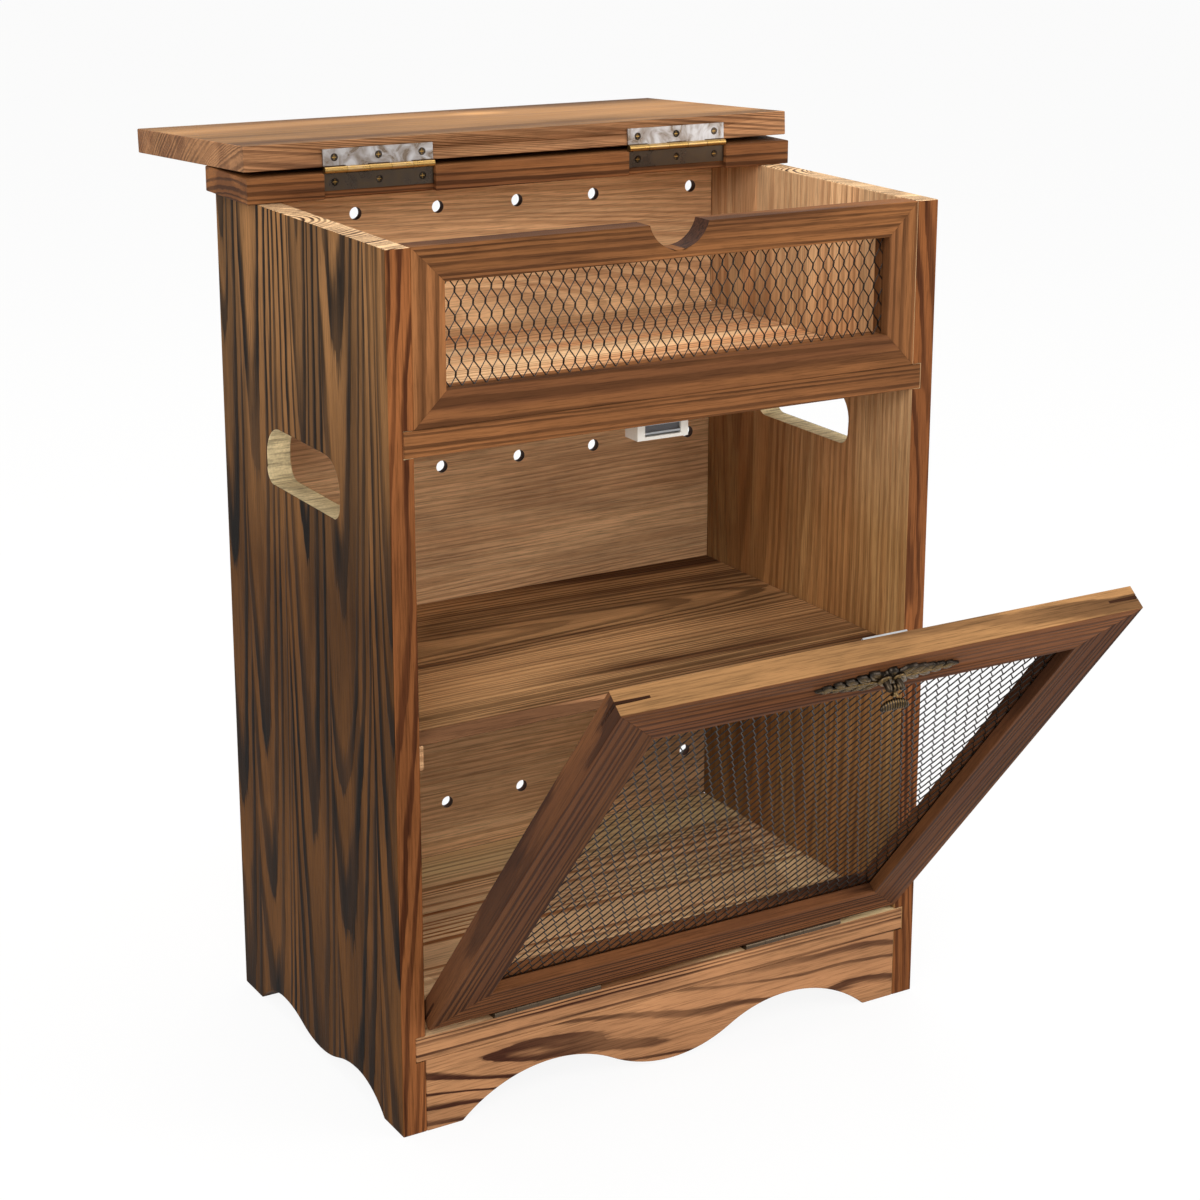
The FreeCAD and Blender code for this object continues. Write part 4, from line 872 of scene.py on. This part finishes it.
class CABINET_OT_boards(bpy.types.Operator):
    """Boards with eased edges and scorched grain"""

    bl_idname = "cabinet.boards"
    bl_label = "Boards"

    def execute(self, context):
        looks = context.scene.board_looks
        bare = bare_wood_material("bare_cut_wood", looks.cut_wood)
        rough = bare_wood_material("rough_end_wood", shade(looks.late_front, 1.9)[:3], dark=0.25)
        bold = (looks.early_apron, looks.late_apron)
        for node, (pair, settings) in board_plan().items():
            tilt = settings.get("tilt", 0.0)
            material = wood_material("wood_" + node, *pair, **settings)
            if node.startswith("side_panel"):
                self.side_panel(node, material, bare, settings, looks)
            elif node == "lid_board":
                narrow = dict(centre=(0.3, 0.0, 0.3), rings=0.6, waves=1.5, lines=0.6)
                rim = wood_material("edge_lid_board", *bold, **narrow)
                eased_board(node, [material, rim], faces=rim_face, arris=1)
            elif node in ("upper_board", "bottom_board", "middle_shelf"):
                shown = (looks.early_front, looks.late_front) if node == "upper_board" else bold
                rim = wood_material("edge_" + node, *shown, **dict(settings, honey=0.0, scorch=0.25))
                eased_board(node, [material, rim], faces=rim_face, arris=1)
            elif node == "door_top_rail":
                top = wood_material("edge_" + node, looks.early_lid, looks.late_front, **settings)
                eased_board(node, [material, top], tilt, faces=door_top_face)
            elif node == "top_frame_top_rail":
                eased_board(node, [material, rough], faces=finger_notch_face(node))
            elif node == "back_panel":
                eased_board(node, [material, rough], faces=vent_face(node))
            else:
                eased_board(node, [material], tilt)
        spline = wood_material("wood_splines", looks.late_front, looks.late_front, tilt=DOOR_TILT)
        give("door_corner_splines", spline)
        return {"FINISHED"}

    def side_panel(self, node, outer, bare, settings, looks):
        """A side board: dark outside, pale inside, with its edges and its hand hole in tones of their own."""
        # The inside is also painted darker towards the foot, as painted shade.
        shaded = dict(settings, lines=0.45, scorch=0.3, foot_shade=0.55)
        inner = wood_material("inner_" + node, looks.early_inside, looks.late_inside, **shaded)
        # The edges take neither the painted shade at the foot nor the strips.
        plain = dict(settings, foot_shade=1.0, strip=0.0)
        red = dict(plain, rings=0.5, scorch=0.2)
        front = wood_material("edge_" + node, looks.early_edge, looks.late_edge, **red)
        streaked = dict(plain, rings=0.9, scorch=0.1)
        end = wood_material("end_" + node, looks.early_inside, looks.late_front, **streaked)
        way = -1 if node.endswith("left") else 1
        eased_board(node, [outer, inner, bare, front, end], faces=side_face(node, way))


def side_face(node, way):
    """Outer face 0, inner face 1, the hand hole's wall 2, front and rear edges 3 and top edge 4."""
    low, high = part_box(node)

    def number(face):
        middle = face.calc_center_median()
        if face.normal.x * way < -0.9:
            return 1
        if abs(face.normal.x) > 0.5:
            return 0
        if middle.z > high.z - EDGE_MARGIN:
            return 4
        if abs(middle.y) < HAND_HOLE_REACH and middle.z > low.z + FOOT_HEIGHT:
            return 2
        return 3 if abs(face.normal.y) > 0.9 else 0

    return number


def rim_face(face):
    """Picks out the narrow faces round a level board."""
    return int(abs(face.normal.z) < 0.9)


def door_top_face(face):
    """Picks out the faces that look up when the door is shut."""
    upright = Matrix.Rotation(math.radians(-DOOR_TILT), 3, "X") @ face.normal
    return int(upright.z > 0.9)


def finger_notch_face(node):
    """Picks out the curved wall of the finger notch."""
    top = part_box(node)[1].z

    def number(face):
        middle = face.calc_center_median()
        in_notch = abs(middle.x) < NOTCH_REACH and middle.z > top - NOTCH_DEPTH
        return int(in_notch and abs(face.normal.y) < 0.5 and face.normal.z < 0.99)

    return number


def vent_face(node):
    """Picks out the walls of the holes, which lie well inside the panel's edges."""
    low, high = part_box(node)

    def number(face):
        middle = face.calc_center_median()
        inset = min(middle.x - low.x, high.x - middle.x, middle.z - low.z, high.z - middle.z)
        return int(inset > EDGE_MARGIN and abs(face.normal.y) < 0.5)

    return number


class CABINET_OT_nets(bpy.types.Operator):
    """Expanded metal in the bin's front and in the door"""

    bl_idname = "cabinet.nets"
    bl_label = "Expanded metal"

    def execute(self, context):
        paint = plain_material("black_net_paint", context.scene.metal_looks.net_colour, 0.36, 0.6, 700.0)
        for node, matrix in (("top_frame_mesh", Matrix.Identity(4)), ("door_mesh", door_matrix())):
            low, high = local_box(node, matrix)
            show("net_" + node, net_mesh(node, low, high, matrix), [paint], [node])
        return {"FINISHED"}


class CABINET_OT_hinges(bpy.types.Operator):
    """Antiqued hinges, their pins and their screws"""

    bl_idname = "cabinet.hinges"
    bl_label = "Hinges"

    def execute(self, context):
        looks = context.scene.metal_looks
        for stem, knuckle in (("lid_hinge", looks.gold), ("door_hinge", looks.barrel)):
            axis = JOINTS[stem]["pos_m"]
            # The lid's moving leaf is painted lighter than its fixed leaf as painted light; the door's leaves
            # share one tone.
            bright = looks.bronze if stem == "lid_hinge" else looks.barrel
            dull = shade(looks.patina, 2.6 if stem == "lid_hinge" else 1.0)[:3]
            turned = bronze_material(stem + "_moving_bronze", dull, bright, knuckle, axis=axis)
            fixed = bronze_material(stem + "_fixed_bronze", looks.patina, looks.barrel, knuckle, axis=axis)
            pin = bronze_material(stem + "_pin_bronze", looks.patina, knuckle, knuckle)
            for node in frame["nodes"]:
                if not node.startswith(stem):
                    continue
                if node.endswith("_screws"):
                    give(node, self.screw_bronze(node, looks))
                else:
                    give(node, pin if node.endswith("_pin") else fixed if "_fixed" in node else turned)
        return {"FINISHED"}

    def screw_bronze(self, node, looks):
        """Blackened screws; those that face the front have gold painted as glints in their recess."""
        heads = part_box(node)[0].y if node.startswith("lid_hinge") else None
        colours = (looks.iron, looks.patina, looks.gold)
        return bronze_material(node + "_bronze", *colours, rough=0.22, heads=heads)


class CABINET_OT_catch(bpy.types.Operator):
    """Magnetic catch, strike, their screws and the brads"""

    bl_idname = "cabinet.catch"
    bl_label = "Catch"

    def execute(self, context):
        looks = context.scene.metal_looks
        steel = plain_material("bright_steel", looks.steel, 0.32, 1.0)
        give("catch_housing", plain_material("off_white_plastic", looks.plastic, 0.42, 0.0))
        give("catch_magnet", plain_material("dark_magnet", looks.magnet, 0.6, 0.3))
        for node in ("catch_pole_plates", "strike_plate", "catch_screws", "strike_screw", "back_panel_brads"):
            give(node, steel)
        return {"FINISHED"}


class CABINET_OT_pull(bpy.types.Operator):
    """Leafy back plate and ribbed drop grip of the pull"""

    bl_idname = "cabinet.pull"
    bl_label = "Pull"

    def execute(self, context):
        looks = context.scene.metal_looks
        dark = shade(looks.patina, 0.62)[:3]
        bronze = bronze_material("pull_bronze", looks.iron, dark, looks.gold, rub=0.5, rough=0.34)
        give("pull_screws", bronze)
        give("pull_pivot_pin", bronze)
        self.back_plate(bronze, context.scene.pull_looks)
        self.grip(bronze, context.scene.pull_looks)
        return {"FINISHED"}

    def back_plate(self, bronze, sizes):
        """Two leafy wings with scrolls and ears, a lobed boss and a bud over it."""
        matrix = door_matrix()
        half = local_box("pull_back_plate", matrix)[1].x
        middle = Vector((0.0, sum(corner.z for corner in local_box("pull_screws", matrix)) / 2))
        work = bmesh.new()
        rub = work.verts.layers.float.new("rub")
        for way in (-1, 1):
            self.leaves(work, rub, matrix, middle, way, half, sizes)
            self.stalk(work, rub, matrix, middle, way, half, sizes)
            self.scroll(work, rub, matrix, middle, way, sizes)
            self.ear(work, rub, matrix, middle, way, sizes)
        base = sizes.plate_thickness
        boss = (sizes.boss_width, sizes.boss_height, sizes.boss_rise)
        dome(work, rub, matrix, middle, *boss, base, BOSS_PETALS, BOSS_PETAL_DEPTH)
        dome(work, rub, matrix, middle + Vector((0.0, BUD_LIFT)), BUD_WIDTH, BUD_HEIGHT, BUD_RISE, base)
        show("pull_leaf_plate", finished_mesh(work, "pull_leaf_plate"), [bronze], ["pull_back_plate"])

    def leaves(self, work, rub, matrix, middle, way, half, sizes):
        """Pairs of leaves that shrink towards a wing's end, and one leaf at the end."""
        base = sizes.plate_thickness
        for row in range(sizes.leaf_rows):
            share = row / sizes.leaf_rows
            root = middle + Vector((way * (sizes.leaf_start + sizes.leaf_step * row), 0.0))
            length = sizes.leaf_length * (1 - LEAF_SHORTER * share)
            width = sizes.leaf_half_width * (1 - LEAF_NARROWER * share)
            rise = sizes.leaf_rise * (1 - share / 2)
            for side in (-1, 1):
                angle = side * math.radians(LEAF_SPREAD - LEAF_SPREAD_LOST * share)
                angle = angle if way > 0 else math.pi - angle
                leaf(work, rub, matrix, root, angle, length, width, rise, base)
        root = middle + Vector((way * (half - sizes.tip_length - TIP_MARGIN), 0.0))
        angle = 0.0 if way > 0 else math.pi
        width, rise = sizes.leaf_half_width / 2, sizes.leaf_rise / 2
        leaf(work, rub, matrix, root, angle, sizes.tip_length, width, rise, base)

    def stalk(self, work, rub, matrix, middle, way, half, sizes):
        """The stalk that carries a wing's leaves."""
        path, radii = [], []
        for step in range(STALK_STEPS + 1):
            share = step / STALK_STEPS
            across = way * (half - STALK_SHORT) * share
            path.append(Vector((across, STALK_OUT - STALK_DROP * share, middle.y)))
            radii.append(sizes.stalk_radius * (1 - STALK_THINNER * share))
        tube(work, rub, matrix, path, radii, 1.0)

    def scroll(self, work, rub, matrix, middle, way, sizes):
        """A rolled scroll beside the boss."""
        path = []
        for step in range(SCROLL_STEPS + 1):
            turn = SCROLL_HALF_TURNS * math.pi * step / SCROLL_STEPS
            radius = sizes.scroll_radius * (1 - SCROLL_TIGHTER * step / SCROLL_STEPS)
            across = way * (sizes.leaf_start + SCROLL_SQUASH * radius * math.cos(turn))
            path.append(Vector((across, SCROLL_OUT, middle.y + SCROLL_LIFT + radius * math.sin(turn))))
        tube(work, rub, matrix, path, [sizes.scroll_bar] * len(path), 1.0)

    def ear(self, work, rub, matrix, middle, way, sizes):
        """A turned ear that stands out from the plate and holds the pin."""
        post = [Vector((way * sizes.ear_offset, out, middle.y + EAR_LIFT)) for out in EAR_REACH]
        tube(work, rub, matrix, post, EAR_RADII, 0.8, 12)

    def grip(self, bronze, sizes):
        """The drop grip: two rings round the pin, a turned neck and a ribbed crescent."""
        low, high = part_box("pull_grip")
        eye = Vector(JOINTS["grip_pivot"]["pos_m"])
        matrix = Matrix.Translation(eye)
        work = bmesh.new()
        rub = work.verts.layers.float.new("rub")
        for side in (-1, 1):
            ring = []
            for step in range(EYE_STEPS + 1):
                angle = 2 * math.pi * step / EYE_STEPS
                out, up = sizes.eye_radius * math.sin(angle), sizes.eye_radius * math.cos(angle)
                ring.append(Vector((side * EYE_SPACING, out, up)))
            tube(work, rub, matrix, ring, [sizes.eye_bar] * len(ring), 0.7, 8)
        step = sizes.neck_length / (len(NECK_RADII) - 1)
        neck = [Vector((0.0, 0.0, -NECK_START - step * i)) for i in range(len(NECK_RADII))]
        tube(work, rub, matrix, neck, NECK_RADII, 0.9, 12)
        self.crescent(work, rub, matrix, eye.z - low.z, (high.x - low.x) / 2, sizes)
        show("pull_ribbed_grip", finished_mesh(work, "pull_ribbed_grip"), [bronze], ["pull_grip"])

    def crescent(self, work, rub, matrix, drop, half_width, sizes):
        """A fat crescent under the neck, ribbed like a comb round its length, its horns turned down."""
        middle = sizes.grip_margin + sizes.grip_thickness + sizes.grip_sag - drop
        rings = []
        for i in range(GRIP_STEPS + 1):
            share = 2 * i / GRIP_STEPS - 1
            rib = 0.5 + 0.5 * math.cos(2 * math.pi * sizes.ribs * i / GRIP_STEPS)
            full = (1 - abs(share) ** GRIP_FULLNESS) ** 0.5
            girth = max(GRIP_HORN, full * (1 - RIB_DEPTH + RIB_DEPTH * rib))
            across = share * (half_width - sizes.grip_margin)
            height = middle - sizes.grip_sag * share**2
            ring = []
            for k in range(GRIP_TURNS):
                angle = 2 * math.pi * k / GRIP_TURNS
                out = sizes.grip_depth * girth * math.cos(angle)
                spot = Vector((across, height + sizes.grip_thickness * girth * math.sin(angle)))
                ring.append(vertex(work, rub, matrix, spot, out, rib * girth))
            rings.append(ring)
        skin(work, rings)


class CABINET_OT_stage(bpy.types.Operator):
    """Pale floor, soft lamps and the camera"""

    bl_idname = "cabinet.stage"
    bl_label = "Stage"

    def execute(self, context):
        looks = context.scene.stage_looks
        self.camera(context.scene)
        self.floor(looks)
        self.world(context.scene, looks)
        for name, place, size in LAMPS:
            self.lamp(name, place, size, getattr(looks, name + "_power"))
        context.scene.view_settings.view_transform = "Standard"
        return {"FINISHED"}

    def camera(self, scene):
        data = bpy.data.cameras.new("camera")
        data.sensor_width = 36.0
        data.lens = CAMERA_FOCAL_PIXELS / PHOTO_PIXELS * data.sensor_width
        data.shift_x = (PHOTO_PIXELS / 2 - CAMERA_CENTRE_PIXELS[0]) / PHOTO_PIXELS
        data.shift_y = (CAMERA_CENTRE_PIXELS[1] - PHOTO_PIXELS / 2) / PHOTO_PIXELS
        camera = bpy.data.objects.new("camera", data)
        scene.collection.objects.link(camera)
        camera.location = [c / 1000 for c in CAMERA_PLACE]
        yaw = Matrix.Rotation(math.radians(CAMERA_YAW), 4, "Z")
        pitch = Matrix.Rotation(math.radians(90 + CAMERA_PITCH), 4, "X")
        roll = Matrix.Rotation(math.radians(CAMERA_ROLL), 4, "Z")
        camera.rotation_euler = (yaw @ pitch @ roll).to_euler()
        scene.camera = camera

    def floor(self, looks):
        material, tree, shader = fresh_material("pale_floor")
        place = add(tree, "ShaderNodeTexCoord").outputs["Object"]
        cloud = noise(tree, place, 3.0, 2.0)
        base = mix(tree, "MIX", cloud, shade(looks.floor_colour, 0.98), shade(looks.floor_colour, 1.0))
        tree.links.new(base, shader.inputs["Base Color"])
        shader.inputs["Roughness"].default_value = 0.9
        glow = add(tree, "ShaderNodeEmission", {"Color": (1.0, 1.0, 1.0, 1.0), "Strength": 1.0})
        share = maths(tree, "MULTIPLY", backdrop_rays(tree), FLOOR_WHITE)
        blend = add(tree, "ShaderNodeMixShader", {0: share, 1: shader.outputs[0], 2: glow.outputs[0]})
        output = next(n for n in tree.nodes if n.bl_idname == "ShaderNodeOutputMaterial")
        tree.links.new(blend.outputs[0], output.inputs["Surface"])
        mesh = bpy.data.meshes.new("floor")
        rim = [(x * FLOOR_REACH, y * FLOOR_REACH, 0) for x, y in ((-1, -1), (1, -1), (1, 1), (-1, 1))]
        mesh.from_pydata(rim, [], [(0, 1, 2, 3)])
        mesh.materials.append(material)
        floor = bpy.data.objects.new("floor", mesh)
        bpy.context.scene.collection.objects.link(floor)

    def world(self, scene, looks):
        world = bpy.data.worlds.new("even_light")
        world.use_nodes = True
        tree = world.node_tree
        tree.nodes.clear()
        light = add(tree, "ShaderNodeBackground", {"Color": (1.0, 0.99, 0.97, 1.0), "Strength": looks.sky})
        white = add(tree, "ShaderNodeBackground", {"Color": (1.0, 1.0, 1.0, 1.0), "Strength": 1.0})
        seen = backdrop_rays(tree)
        blend = add(tree, "ShaderNodeMixShader", {0: seen, 1: light.outputs[0], 2: white.outputs[0]})
        add(tree, "ShaderNodeOutputWorld", {"Surface": blend.outputs[0]})
        scene.world = world

    def lamp(self, name, place, size, power):
        data = bpy.data.lights.new(name, "AREA")
        data.shape = "DISK"
        data.size = size
        data.energy = power
        data.color = (1.0, 0.98, 0.95)
        lamp = bpy.data.objects.new(name, data)
        bpy.context.scene.collection.objects.link(lamp)
        lamp.location = place
        lamp.rotation_euler = (LAMP_AIM - Vector(place)).to_track_quat("-Z", "Y").to_euler()


class CABINET_PT_looks(bpy.types.Panel):
    """The cabinet's looks, in the 3D view's sidebar"""

    bl_idname = "CABINET_PT_looks"
    bl_label = "Vegetable cabinet"
    bl_space_type = "VIEW_3D"
    bl_region_type = "UI"
    bl_category = "Cabinet"

    def draw(self, context):
        for name, group in GROUPS:
            box = self.layout.box()
            for size in group.__annotations__:
                box.prop(getattr(context.scene, name), size)
        for operator in OPERATORS:
            self.layout.operator(operator.bl_idname)


GROUPS = (
    ("board_looks", BoardLooks),
    ("metal_looks", MetalLooks),
    ("pull_looks", PullLooks),
    ("stage_looks", StageLooks),
)
OPERATORS = (
    CABINET_OT_boards,
    CABINET_OT_nets,
    CABINET_OT_hinges,
    CABINET_OT_catch,
    CABINET_OT_pull,
    CABINET_OT_stage,
)


def register():
    for name, group in GROUPS:
        bpy.utils.register_class(group)
        setattr(bpy.types.Scene, name, bpy.props.PointerProperty(type=group))
    for operator in OPERATORS:
        bpy.utils.register_class(operator)
    bpy.utils.register_class(CABINET_PT_looks)


def unregister():
    bpy.utils.unregister_class(CABINET_PT_looks)
    for operator in reversed(OPERATORS):
        bpy.utils.unregister_class(operator)
    for name, group in reversed(GROUPS):
        delattr(bpy.types.Scene, name)
        bpy.utils.unregister_class(group)


def main():
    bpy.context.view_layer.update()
    register()
    bpy.ops.cabinet.boards()
    bpy.ops.cabinet.nets()
    bpy.ops.cabinet.hinges()
    bpy.ops.cabinet.catch()
    bpy.ops.cabinet.pull()
    bpy.ops.cabinet.stage()


if __name__ == "__main__":
    main()
